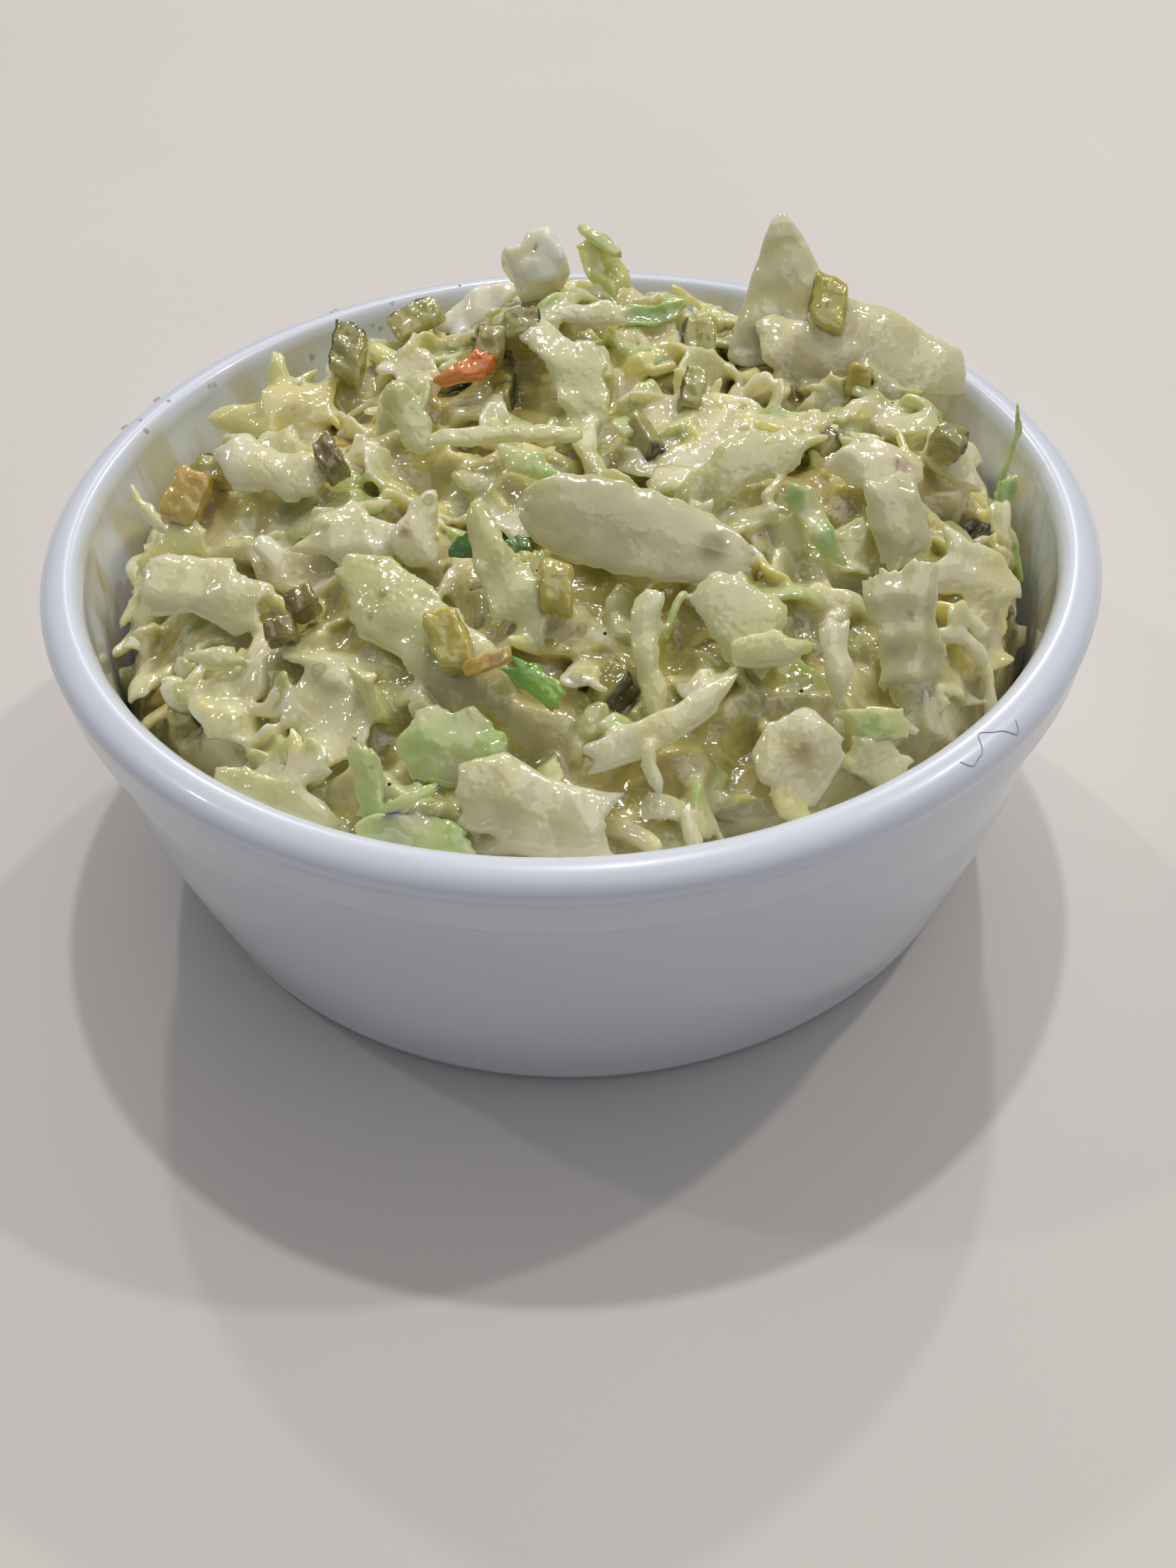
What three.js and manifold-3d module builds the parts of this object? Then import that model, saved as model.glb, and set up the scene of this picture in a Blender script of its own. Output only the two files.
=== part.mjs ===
// A white bowl heaped with coleslaw: the bowl is one turned solid, and the slaw is one solid, a core
// that fills the bowl with the leaves, shreds and pickle dice that show fused on.
// Millimetres, +Z up, the origin on the table under the middle of the bowl, the front of the bowl at -Y.
import * as THREE from "three";
import { mergeVertices } from "three/addons/utils/BufferGeometryUtils.js";
import Module from "manifold-3d";

const wasm = await Module();
wasm.setup();

// Bowl: a tapered, slightly bulged wall with a plain band and a rolled lip, on a shallow foot ring.
const LIP_RADIUS = 57.5; // widest line of the rolled lip
const LIP_HEIGHT = 38.6; // height of that line
const BOWL_HEIGHT = 40.6; // crest of the lip
const LIP_OUT = 2; // crest to the widest line, seen from above
const LIP_IN = 2.6; // crest to the inner wall
const BAND_RADIUS = 57;
const BAND_BOTTOM = 33.6; // the ledge under the band
const WALL_TOP_RADIUS = 54.9;
const WALL_BASE_RADIUS = 49.4;
const WALL_BULGE = 1.3;
const WALL = 2.9;
const CORNER_HEIGHT = 3; // where the wall meets the rounded bottom corner
const FOOT_OUTER = 46.5;
const FOOT_INNER = 40.5;
const FOOT_DEPTH = 1.2;
const FLOOR = 3.6; // top of the bowl's floor
const INNER_CORNER = 9; // radius between the floor and the inner wall
const LEDGE = 0.3; // rounding of the ledge under the band
const LIP_SEAM = 0.8; // the band ends this far under the lip's widest line
const INNER_SEAM = 0.4; // the lip's inner curve ends this far under that line
const BOWL_SIDES = 56;
const WALL_STEPS = 4;
const ARC_STEPS = 3;

// Slaw: how high it stands all round the wall, every 45 degrees from +X, and how wide the slope is
// from there up to the dome.
const WALL_CONTACT = [28, 26, 31, 22, 29, 36, 37.5, 34];
const SLOPE_WIDTH = [9, 11, 12, 16, 11, 8, 7, 8];
const DOME_EDGE = 38; // height of the dome at DOME_RADIUS
const DOME_RISE = 10.5;
const DOME_RADIUS = 58;
const DOME_CENTRE = [2, 5];
// Rises and hollows in the dome: x, y, height, spread.
const RISES = [
  [1, 28, 5, 11],
  [27, 23, 3.5, 11],
  [38, 19, 3, 8],
  [-14, 22, 2, 9],
  [-28, -3, 2.5, 12],
  [13, -8, 2.5, 13],
  [33, -10, 2, 11],
  [-6, -30, 2, 12],
  [21, -34, 1.5, 9],
  [-15, -4, -3.5, 4.5],
  [0, -10, -3.5, 6.5],
  [9, -30, -3, 4],
  [1, -44, -2, 4],
  [-42, -18, -2.5, 4],
  [24, -1, -2, 5],
  [-22, 12, -2, 5],
];
const CORE_DEPTH = 1; // the core lies this far under the surface that the loose pieces make
const CORE_RELIEF = 0.8;
const RELIEF_WAVES = [0.55, 0.3, 0.6, 0.2]; // radians for each millimetre, along x and y
const CORE_SIDES = 42;
const CORE_RINGS = 10;
const CORE_REACH = 56; // past the wall, before the core is cut to the bowl
const GAP = 0.35; // between the slaw and the bowl
const CUT_TOP = 80;
const SMALLEST_STEP = 0.04; // relief finer than this is smoothed away

// Scattered leaves and shreds between the named ones.
const SCATTER = 54;
const SCATTER_REACH = 49;
const SCATTER_SWAY = 0.15; // radians off its place in the spiral
const SCATTER_LIFT = [-1.2, 0.6];
const SCATTER_PITCH = 22;
const SCATTER_ROLL = 30;
const SHRED_SHARE = 0.45;
const SHRED_SIZE = [
  [11, 18],
  [2.2, 3.6],
  [1.3, 1.8],
];
const LEAF_SIZE = [
  [9, 15],
  [6, 9.5],
  [1.3, 1.7],
];
const SLOPE_STEP = 2; // the slope under a piece is taken over this far each way
const SEED = 20417;
const GOLDEN_ANGLE = Math.PI * (3 - Math.sqrt(5));

// The pieces that stand out: the middle of the piece; its heading, pitch and roll in degrees; its
// length, width and thickness; and its shape. curl bends it along its length and cup across it, bow
// bends it sideways, taper is the far end's width over the near end's, and blunt runs from 2, an oval,
// to 14, a block.
const NAMED_PIECES = {
  "big leaf": [
    [6.5, -21, 50], [-15, -10, 35], [23.5, 9.5, 1.2],
    { curl: 25, cup: 28, taper: 0.7, blunt: 2.6 },
  ],
  "peak leaf": [[27, 27, 50], [95, 55, -10], [18, 18, 1.3], { curl: 8, cup: 15, taper: 0.04, blunt: 9 }],
  "peak flank": [[39.5, 22, 45.5], [-5, -25, 30], [19.5, 9, 1.3], { cup: 20, taper: 0.8, blunt: 4 }],
  "stem cube": [[-2.5, 29, 53], [75, 45, 10], [7, 6, 5], { taper: 0.85, blunt: 14 }],
  "stem slab": [[-10.5, 33, 46], [25, 20, 15], [11.5, 5, 1.6], { blunt: 4 }],
  "curled leaf": [[5.5, 29.5, 51.5], [-60, -35, 10], [9, 6.5, 0.8], { cup: 55, taper: 0.8, blunt: 3 }],
  "green horn": [[11.5, 26, 48], [20, 5, 35], [10.5, 4, 0.8], { cup: -35, bow: 45, taper: 0.35, blunt: 3 }],
  "flat white": [[4, 19.5, 51.5], [-5, -5, 30], [9.5, 3.5, 1.1], { blunt: 2.5 }],
  "drip leaf": [
    [2, 10, 49.5], [-70, -30, 10], [17, 7.5, 1.0],
    { curl: 30, bow: -30, taper: 0.35, blunt: 3 },
  ],
  "long strip": [[-6.5, -1, 49], [0, 0, 25], [17.5, 2.5, 1.1], { curl: 15, bow: -12, blunt: 5 }],
  "tan oval": [[-16.5, 2.5, 49], [-65, -35, 10], [10, 5, 1.0], { cup: 25, taper: 0.8, blunt: 2.5 }],
  "left dome leaf": [[-30, -2.5, 48], [-15, -5, 25], [11, 4.5, 1.2], { cup: 30, blunt: 2.5 }],
  "cream peak": [[-15, -13.5, 47], [65, 35, 15], [7.5, 6.5, 1.3], { taper: 0.1, blunt: 6 }],
  "finger leaf": [[-6.5, -24.5, 48], [-65, -30, 15], [15, 5.5, 1.0], { cup: 20, taper: 1.8, blunt: 3 }],
  "diagonal leaf": [
    [-15, -28, 45], [-40, -10, 25], [25, 10.5, 1.2],
    { curl: 20, cup: 20, taper: 0.8, blunt: 5 },
  ],
  "rounded green": [[-11.5, -41, 42], [-15, -10, 35], [8.5, 6, 0.8], { cup: 25, blunt: 2.2 }],
  "yellow-green stalk": [[-19, -44, 39.5], [-80, -40, 5], [8, 3, 1.0], { cup: 20, taper: 0.8, blunt: 6 }],
  "stalk branch": [[-15, -46, 39.5], [20, 15, 35], [5.5, 2.5, 0.9], { cup: 20, taper: 0.1, blunt: 4 }],
  "lip leaf": [[-27.5, -43, 37], [-25, -10, 35], [14.5, 4.5, 1.0], { curl: 25, bow: -20, blunt: 4 }],
  "lip green": [[-14.5, -48.5, 37.5], [-15, -5, 35], [11, 4.5, 0.8], { cup: 15, blunt: 3 }],
  "fan leaf": [[-4, -48.5, 39], [-15, -10, 35], [15, 8.5, 1.2], { cup: 15, taper: 1.4, blunt: 5 }],
  "forked shred": [[7.5, -42, 43], [20, 15, 30], [17, 4, 1.5], { curl: 25, bow: 28, taper: 0.9, blunt: 3 }],
  "wavy strap": [[6.5, -33, 45], [-90, -35, 0], [13, 3, 1.1], { cup: 25, bow: 20, blunt: 4 }],
  "block leaf": [[16, -30, 46], [-50, -25, 20], [10.5, 6.5, 1.1], { cup: 15, blunt: 7 }],
  "block end": [[18, -34.5, 45.5], [-5, 0, 35], [7.5, 3, 1.3], { blunt: 9 }],
  "hanging leaf": [
    [31.5, -30, 44], [-80, -40, 10], [14, 8.5, 1.1],
    { curl: 15, cup: 18, taper: 0.8, blunt: 4 },
  ],
  "hanging shred": [[24, -35, 44.5], [-90, -35, 0], [9, 3, 1.0], { cup: 20, blunt: 3 }],
  "clear leaf": [[33, -16, 46.5], [-80, -35, 5], [10.5, 5.5, 1.0], { cup: 22, blunt: 4 }],
  "right white": [[32.5, -8.5, 47.5], [-20, -15, 25], [9, 4.5, 1.5], { cup: 20, blunt: 4 }],
  "mid leaf": [[18, -10, 50], [25, 15, 30], [15.5, 4.5, 1.1], { curl: 20, cup: 25, bow: -25, blunt: 3 }],
  "right green": [[24.5, -17, 47], [-60, -30, 15], [10.5, 4, 0.8], { cup: 20, taper: 0.6, blunt: 3 }],
  "right cream": [[40.5, -19, 42], [-30, -30, 25], [8.5, 7.5, 1.4], { cup: 20, blunt: 4 }],
  "right curl a": [[38.5, -27, 39.5], [-20, -30, 30], [7, 2, 1.2], { bow: -80, blunt: 4 }],
  "right curl b": [[41, -29, 35], [-80, -45, -5], [6.5, 1.5, 1.1], { bow: -30, blunt: 4 }],
  "frill": [[28, -39, 40], [10, -5, 45], [7.5, 4, 0.8], { curl: 50, bow: -40, blunt: 3 }],
  "frill foot": [[27.5, -41.5, 37.5], [-20, -25, 40], [6.5, 5, 0.9], { cup: 20, blunt: 5 }],
  "spot leaf": [[20, -43, 40.5], [50, 35, 30], [7, 6, 1.3], { cup: 20, blunt: 3 }],
  "tendril": [[49.5, 5.5, 40.5], [80, 55, 10], [12, 0.9, 0.9], { bow: 25, taper: 0.4, blunt: 4 }],
  "tendril foot": [[49, 2, 35.5], [60, 45, 20], [7, 2, 1.4], { taper: 0.8, blunt: 3 }],
  "right chunk": [[41.5, -2, 44], [-40, -25, 20], [9, 4.5, 1.8], { blunt: 6 }],
  "star horn": [[-33, 19, 44.5], [95, 40, 0], [8, 4, 1.6], { cup: 30, taper: 0.35, blunt: 4 }],
  "star arm": [[-36.5, 13, 44], [-5, -5, 35], [8.5, 3.5, 1.6], { cup: 30, taper: 1.3, blunt: 4 }],
  "left jag leaf": [[-38.5, -17.5, 41.5], [-10, -5, 35], [11.5, 6, 1.1], { cup: 20, taper: 1.4, blunt: 3 }],
  "left yellow point": [[-43, -8.5, 41], [20, 30, 25], [7.5, 4.5, 1.1], { cup: 20, taper: 1.4, blunt: 3 }],
  "left point": [[-35, -26, 40.5], [-5, 0, 30], [6, 3.5, 1.0], { cup: 20, taper: 1.3, blunt: 3 }],
  "left shred": [[-45.5, -2, 41.5], [-45, -25, 35], [8.5, 1.5, 1.0], { bow: 30, blunt: 3 }],
  "pickle a": [[-4.5, 17, 51.5], [0, 0, 30], [4.5, 3.5, 3.5], { blunt: 14 }],
  "pickle b": [[-8, 15, 50.5], [80, 35, 5], [4, 3, 3.2], { blunt: 14 }],
  "pickle c": [[-25, 22, 46.5], [80, 30, 0], [6.5, 4, 3.2], { blunt: 14 }],
  "pickle d": [[-17.5, 30, 46.5], [25, 15, 20], [6.5, 4, 2], { blunt: 8 }],
  "pickle e": [[-24.5, -4.5, 49], [-60, -30, 15], [4.5, 2.5, 3], { blunt: 12 }],
  "amber": [[-40.5, -4, 44.5], [60, 35, 15], [6, 4, 2.6], { blunt: 8 }],
  "pickle f": [[-38, 0, 45], [-10, 0, 30], [3.5, 3, 3.2], { blunt: 12 }],
  "pickle i": [[40.5, -3, 45.5], [-25, -15, 15], [3.5, 3, 3.2], { blunt: 14 }],
  "pickle j": [[31.5, 24, 49.5], [75, 30, 5], [7, 4, 3.2], { blunt: 10 }],
  "pickle k": [[-1.5, -27, 48], [85, 35, 5], [5, 3, 3], { blunt: 14 }],
  "pickle l": [[-11.5, -32, 46], [-70, -30, 15], [6, 3.5, 2.6], { blunt: 6 }],
  "pickle n": [[16, 22, 46], [80, 30, 0], [6, 4, 3], { blunt: 10 }],
  "carrot": [[-11, 11, 48.5], [20, 10, 30], [6.5, 3.5, 2.2], { taper: 1.8, blunt: 4 }],
};

const radians = THREE.MathUtils.degToRad;
const clamp = THREE.MathUtils.clamp;

// Outer radius of the bowl's wall at a height.
function outerWall(z) {
  const t = clamp((z - CORNER_HEIGHT) / (BAND_BOTTOM - CORNER_HEIGHT), 0, 1);
  const straight = WALL_BASE_RADIUS + (WALL_TOP_RADIUS - WALL_BASE_RADIUS) * t;
  return straight + WALL_BULGE * Math.sin(Math.PI * t);
}

const INNER_TOP = LIP_HEIGHT - INNER_SEAM;
const INNER_TOP_RADIUS = LIP_RADIUS - LIP_OUT - LIP_IN;

// Inner radius of the bowl at a height, from the floor's corner to the lip.
function innerWall(z) {
  const cornerTop = FLOOR + INNER_CORNER;
  if (z < cornerTop) {
    const down = (cornerTop - z) / INNER_CORNER;
    const flat = outerWall(cornerTop) - WALL - INNER_CORNER;
    return flat + INNER_CORNER * Math.sqrt(Math.max(0, 1 - down * down));
  }
  if (z < BAND_BOTTOM) return outerWall(z) - WALL;
  const t = Math.min(1, (z - BAND_BOTTOM) / (INNER_TOP - BAND_BOTTOM));
  return THREE.MathUtils.lerp(WALL_TOP_RADIUS - WALL, INNER_TOP_RADIUS, t);
}

// Points of an ellipse's arc about (r, z), from one angle to another in degrees.
function arc(r, z, radiusR, radiusZ, from, to, steps) {
  const points = [];
  for (let i = 0; i <= steps; i++) {
    const a = radians(from + ((to - from) * i) / steps);
    points.push(new THREE.Vector2(r + radiusR * Math.cos(a), z + radiusZ * Math.sin(a)));
  }
  return points;
}

// Points down the inner wall, drawn in by a gap, from a height to the floor's corner.
function innerPoints(fromHeight, gap) {
  const points = [];
  const cornerTop = FLOOR + INNER_CORNER;
  for (const z of [fromHeight, BAND_BOTTOM, (BAND_BOTTOM + cornerTop) / 2, cornerTop]) {
    points.push(new THREE.Vector2(innerWall(z) - gap, z));
  }
  const corner = outerWall(cornerTop) - WALL - INNER_CORNER;
  const radius = INNER_CORNER - gap;
  return points.concat(arc(corner, cornerTop, radius, radius, 0, -90, ARC_STEPS).slice(1));
}

const SAME_POINT = 1e-4;

function closedSolid(geometry) {
  geometry.deleteAttribute("normal");
  geometry.deleteAttribute("uv");
  const merged = mergeVertices(geometry, SAME_POINT);
  return new wasm.Manifold(
    new wasm.Mesh({
      numProp: 3,
      vertProperties: merged.attributes.position.array,
      triVerts: new Uint32Array(merged.index.array),
    }),
  );
}

function geometryOf(solid) {
  const mesh = solid.getMesh();
  const geometry = new THREE.BufferGeometry();
  geometry.setAttribute("position", new THREE.BufferAttribute(mesh.vertProperties, 3));
  geometry.setIndex(new THREE.BufferAttribute(mesh.triVerts, 1));
  geometry.computeVertexNormals();
  return geometry;
}

// A profile of radius and height turned about the Z axis.
function turned(profile, sides) {
  const geometry = new THREE.LatheGeometry(profile, sides);
  geometry.rotateX(Math.PI / 2);
  return geometry;
}

function bowlGeometry() {
  const crestRadius = LIP_RADIUS - LIP_OUT;
  const crestRise = BOWL_HEIGHT - LIP_HEIGHT;
  const wallHeight = (step) => THREE.MathUtils.lerp(CORNER_HEIGHT, BAND_BOTTOM - LEDGE, step / WALL_STEPS);
  const wallHeights = Array.from({ length: WALL_STEPS }, (_, step) => wallHeight(step + 1));
  const cornerRadius = outerWall(CORNER_HEIGHT) - FOOT_OUTER;
  const profile = [
    new THREE.Vector2(0, FOOT_DEPTH),
    new THREE.Vector2(FOOT_INNER - FOOT_DEPTH / 2, FOOT_DEPTH),
    new THREE.Vector2(FOOT_INNER, 0),
    ...arc(FOOT_OUTER, CORNER_HEIGHT, cornerRadius, CORNER_HEIGHT, -90, 0, ARC_STEPS),
    ...wallHeights.map((z) => new THREE.Vector2(outerWall(z), z)),
    new THREE.Vector2(BAND_RADIUS - LEDGE, BAND_BOTTOM),
    new THREE.Vector2(BAND_RADIUS, BAND_BOTTOM + LEDGE),
    new THREE.Vector2(BAND_RADIUS, LIP_HEIGHT - LIP_SEAM),
    ...arc(crestRadius, LIP_HEIGHT, LIP_OUT, crestRise, 0, 90, ARC_STEPS),
    ...arc(crestRadius, INNER_TOP, LIP_IN, BOWL_HEIGHT - INNER_TOP, 90, 180, ARC_STEPS).slice(1),
    ...innerPoints(INNER_TOP, 0).slice(1),
    new THREE.Vector2(0, FLOOR),
  ];
  return turned(profile, BOWL_SIDES);
}

// The room inside the bowl that the slaw may fill, with its gap, carried straight up above the lip.
function roomInBowl() {
  const profile = [
    ...innerPoints(INNER_TOP, GAP).reverse(),
    new THREE.Vector2(INNER_TOP_RADIUS - GAP, CUT_TOP),
    new THREE.Vector2(0, CUT_TOP),
  ];
  profile.unshift(new THREE.Vector2(0, profile[0].y));
  return closedSolid(turned(profile, CORE_SIDES));
}

// A value given at equal steps round the bowl, smoothly carried between them.
function roundTheBowl(values, angle) {
  const turns = angle / (2 * Math.PI);
  const place = (turns - Math.floor(turns)) * values.length;
  const index = Math.floor(place);
  const t = THREE.MathUtils.smoothstep(place - index, 0, 1);
  return THREE.MathUtils.lerp(values[index % values.length], values[(index + 1) % values.length], t);
}

// Height of the slaw's surface over the point x, y.
function slawHeight(x, y) {
  const angle = Math.atan2(y, x);
  const contact = roundTheBowl(WALL_CONTACT, angle);
  const width = roundTheBowl(SLOPE_WIDTH, angle);
  const [cx, cy] = DOME_CENTRE;
  let dome = DOME_EDGE + DOME_RISE * (1 - ((x - cx) ** 2 + (y - cy) ** 2) / DOME_RADIUS ** 2);
  for (const [rx, ry, height, spread] of RISES) {
    dome += height * Math.exp(-((x - rx) ** 2 + (y - ry) ** 2) / spread ** 2);
  }
  const inwards = clamp((innerWall(contact) - Math.hypot(x, y)) / width, 0, 1);
  return THREE.MathUtils.lerp(contact, dome, 1 - (1 - inwards) ** 2);
}

// A closed solid of rings of points, each ring one turn, between a bottom and a top point.
function ringedSolid(bottom, rings, top) {
  const sides = rings[0].length;
  const points = [bottom, ...rings.flat(), top];
  const last = points.length - 1;
  const faces = [];
  const at = (ring, side) => 1 + ring * sides + (side % sides);
  for (let side = 0; side < sides; side++) {
    faces.push(0, at(0, side + 1), at(0, side));
    for (let ring = 0; ring + 1 < rings.length; ring++) {
      faces.push(at(ring, side), at(ring, side + 1), at(ring + 1, side));
      faces.push(at(ring, side + 1), at(ring + 1, side + 1), at(ring + 1, side));
    }
    faces.push(at(rings.length - 1, side), at(rings.length - 1, side + 1), last);
  }
  const geometry = new THREE.BufferGeometry().setFromPoints(points);
  geometry.setIndex(faces);
  return closedSolid(geometry);
}

function coreSolid() {
  const surface = (radius, side) => {
    const angle = (2 * Math.PI * side) / CORE_SIDES;
    const x = radius * Math.cos(angle);
    const y = radius * Math.sin(angle);
    const [a, b, c, d] = RELIEF_WAVES;
    const relief = CORE_RELIEF * Math.sin(a * x + b * y) * Math.sin(c * y - d * x);
    return new THREE.Vector3(x, y, slawHeight(x, y) - CORE_DEPTH + relief);
  };
  const ringOf = (point) => Array.from({ length: CORE_SIDES }, (_, side) => point(side));
  const rings = [
    ringOf((side) => {
      const edge = surface(CORE_REACH, side);
      return edge.setZ(0);
    }),
  ];
  for (let ring = CORE_RINGS; ring > 0; ring--) {
    rings.push(ringOf((side) => surface((CORE_REACH * ring) / CORE_RINGS, side)));
  }
  return ringedSolid(new THREE.Vector3(0, 0, 0), rings, surface(0, 0)).intersect(roomInBowl());
}

// Half the width of a piece at t along it, from 0 to 1, as a share of its width.
function outline(t, taper, blunt) {
  const ends = Math.sqrt(Math.max(0, 1 - Math.abs(2 * t - 1) ** blunt));
  return (0.5 * THREE.MathUtils.lerp(1, taper, t) * ends) / Math.max(1, taper);
}

const END_TRIM = 0.02; // keeps an end from closing to a point
const NO_BEND = 1e-3; // a straight piece is bent by this many radians
const BLOCKY = 10; // from this bluntness a piece is a plain block
const LONG = 13;
const BROAD = 3.8;

// How many steps a piece is split into, along and across: a die needs one, a long broad leaf the most.
function splits(length, width, blunt) {
  if (blunt >= BLOCKY) return [1, 1];
  return [length > LONG ? 4 : 3, width > BROAD ? 2 : 1];
}

// One leaf, shred or die: two faces split alike and a rim between them.
function pieceSolid([at, turn, size, { curl = 0, cup = 0, bow = 0, taper = 1, blunt = 4 }]) {
  const [length, width, thickness] = size;
  const [steps, across] = splits(length, width, blunt);
  const [heading, pitch, roll] = turn.map(radians);
  const place = new THREE.Matrix4()
    .makeRotationFromEuler(new THREE.Euler(roll, -pitch, heading, "ZYX"))
    .setPosition(...at);
  const bend = (degrees) => radians(degrees) || NO_BEND;
  const point = (t, v, offset) => {
    const cupAngle = bend(cup);
    const cupRadius = (outline(t, taper, blunt) * width) / cupAngle;
    const side = (cupRadius + offset) * Math.sin(v * cupAngle);
    const rise = cupRadius * (Math.cos(v * cupAngle) - 1) + offset * Math.cos(v * cupAngle);
    const bowAngle = bend(bow) * (t - 0.5);
    const x = (length / bend(bow)) * Math.sin(bowAngle) - side * Math.sin(bowAngle);
    const y = (length / bend(bow)) * (1 - Math.cos(bowAngle)) + side * Math.cos(bowAngle);
    const curlRadius = length / bend(curl);
    const curlAngle = x / curlRadius;
    const local = new THREE.Vector3(
      (curlRadius + rise) * Math.sin(curlAngle),
      y,
      (curlRadius + rise) * Math.cos(curlAngle) - curlRadius,
    );
    return local.applyMatrix4(place);
  };
  const points = [];
  for (const offset of [thickness / 2, -thickness / 2]) {
    for (let i = 0; i <= steps; i++) {
      const t = THREE.MathUtils.lerp(END_TRIM, 1 - END_TRIM, i / steps);
      for (let j = 0; j <= across; j++) points.push(point(t, (2 * j) / across - 1, offset));
    }
  }
  const row = across + 1;
  const under = row * (steps + 1);
  const faces = [];
  for (let i = 0; i < steps; i++) {
    for (let j = 0; j < across; j++) {
      const a = i * row + j;
      const b = a + row;
      faces.push(a, b, b + 1, a, b + 1, a + 1);
      faces.push(under + a, under + b + 1, under + b);
      faces.push(under + a, under + a + 1, under + b + 1);
    }
  }
  const rim = [];
  for (let i = 0; i < steps; i++) rim.push(i * row);
  for (let j = 0; j < across; j++) rim.push(steps * row + j);
  for (let i = steps; i > 0; i--) rim.push(i * row + across);
  for (let j = across; j > 0; j--) rim.push(j);
  rim.forEach((a, k) => {
    const b = rim[(k + 1) % rim.length];
    faces.push(a, under + a, under + b, a, under + b, b);
  });
  const geometry = new THREE.BufferGeometry().setFromPoints(points);
  geometry.setIndex(faces);
  return closedSolid(geometry);
}

// A repeatable stream of numbers from 0 to 1.
function seededDraws(seed) {
  let state = seed >>> 0;
  return () => {
    state = (Math.imul(state, 1664525) + 1013904223) >>> 0;
    return state / 2 ** 32;
  };
}

// Leaves and shreds strewn evenly over the slaw, each lying along the slope with a tilt of its own.
function scatteredPieces() {
  const draw = seededDraws(SEED);
  const between = (low, high) => low + (high - low) * draw();
  const pieces = [];
  for (let i = 0; i < SCATTER; i++) {
    const radius = SCATTER_REACH * Math.sqrt((i + 0.5) / SCATTER);
    const angle = i * GOLDEN_ANGLE + between(-SCATTER_SWAY, SCATTER_SWAY);
    const x = radius * Math.cos(angle);
    const y = radius * Math.sin(angle);
    const heading = between(0, 360);
    const dx = SLOPE_STEP * Math.cos(radians(heading));
    const dy = SLOPE_STEP * Math.sin(radians(heading));
    const slope = (ex, ey) => {
      const climb = slawHeight(x + ex, y + ey) - slawHeight(x - ex, y - ey);
      return THREE.MathUtils.radToDeg(Math.atan2(climb, 2 * SLOPE_STEP));
    };
    const isShred = draw() < SHRED_SHARE;
    const size = (isShred ? SHRED_SIZE : LEAF_SIZE).map((range) => between(...range));
    pieces.push([
      [x, y, slawHeight(x, y) + between(...SCATTER_LIFT)],
      [
        heading,
        slope(dx, dy) + between(-SCATTER_PITCH, SCATTER_PITCH),
        slope(-dy, dx) + between(-SCATTER_ROLL, SCATTER_ROLL),
      ],
      size,
      {
        curl: between(5, 45),
        cup: isShred ? 0 : between(5, 40),
        bow: isShred ? between(-60, 60) : 0,
        taper: between(0.4, 1),
        blunt: between(2.5, 6),
      },
    ]);
  }
  return pieces;
}

function slawGeometry() {
  const pieces = [...Object.values(NAMED_PIECES), ...scatteredPieces()].map(pieceSolid);
  const heap = wasm.Manifold.union([coreSolid(), ...pieces]).intersect(roomInBowl());
  // A piece that touches nothing is left out.
  const joined = heap.decompose().sort((a, b) => b.volume() - a.volume())[0];
  return geometryOf(joined.simplify(SMALLEST_STEP));
}

const bowl = new THREE.Mesh(
  bowlGeometry(),
  new THREE.MeshStandardMaterial({ color: "#eceef2", roughness: 0.18, metalness: 0 }),
);
bowl.name = "bowl";

const slaw = new THREE.Mesh(
  slawGeometry(),
  new THREE.MeshStandardMaterial({ color: "#dcdcb4", roughness: 0.35, metalness: 0 }),
);
slaw.name = "slaw";

const group = new THREE.Group();
group.add(bowl, slaw);
export default group;
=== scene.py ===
"""A white bowl heaped with creamy coleslaw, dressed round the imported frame.

Sizes are millimetres unless a name or a property says otherwise; meshes are written in metres.
"""
import functools
import math

import bpy
import numpy as np
from mathutils import Matrix, Vector
from mathutils.bvhtree import BVHTree


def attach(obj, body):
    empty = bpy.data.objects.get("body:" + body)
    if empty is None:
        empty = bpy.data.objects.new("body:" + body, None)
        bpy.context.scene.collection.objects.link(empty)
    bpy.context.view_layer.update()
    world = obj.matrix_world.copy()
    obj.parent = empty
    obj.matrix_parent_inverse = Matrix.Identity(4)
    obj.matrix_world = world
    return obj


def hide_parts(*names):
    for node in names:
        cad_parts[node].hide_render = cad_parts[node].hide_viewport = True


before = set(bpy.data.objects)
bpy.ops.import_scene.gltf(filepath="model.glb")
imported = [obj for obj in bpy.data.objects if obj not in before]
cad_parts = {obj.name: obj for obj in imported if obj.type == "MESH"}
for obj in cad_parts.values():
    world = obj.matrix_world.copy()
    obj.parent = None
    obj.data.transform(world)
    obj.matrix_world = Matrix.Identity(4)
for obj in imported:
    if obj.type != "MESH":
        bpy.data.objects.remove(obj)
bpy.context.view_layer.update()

bl_info = {
    "name": "Coleslaw in its bowl",
    "version": (1, 0, 0),
    "blender": (4, 5, 0),
    "location": "View3D > Sidebar > Coleslaw",
    "description": "Builds a white bowl heaped with chopped coleslaw",
    "category": "Object",
}

MM = 0.001
ROOT = "root"

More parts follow.
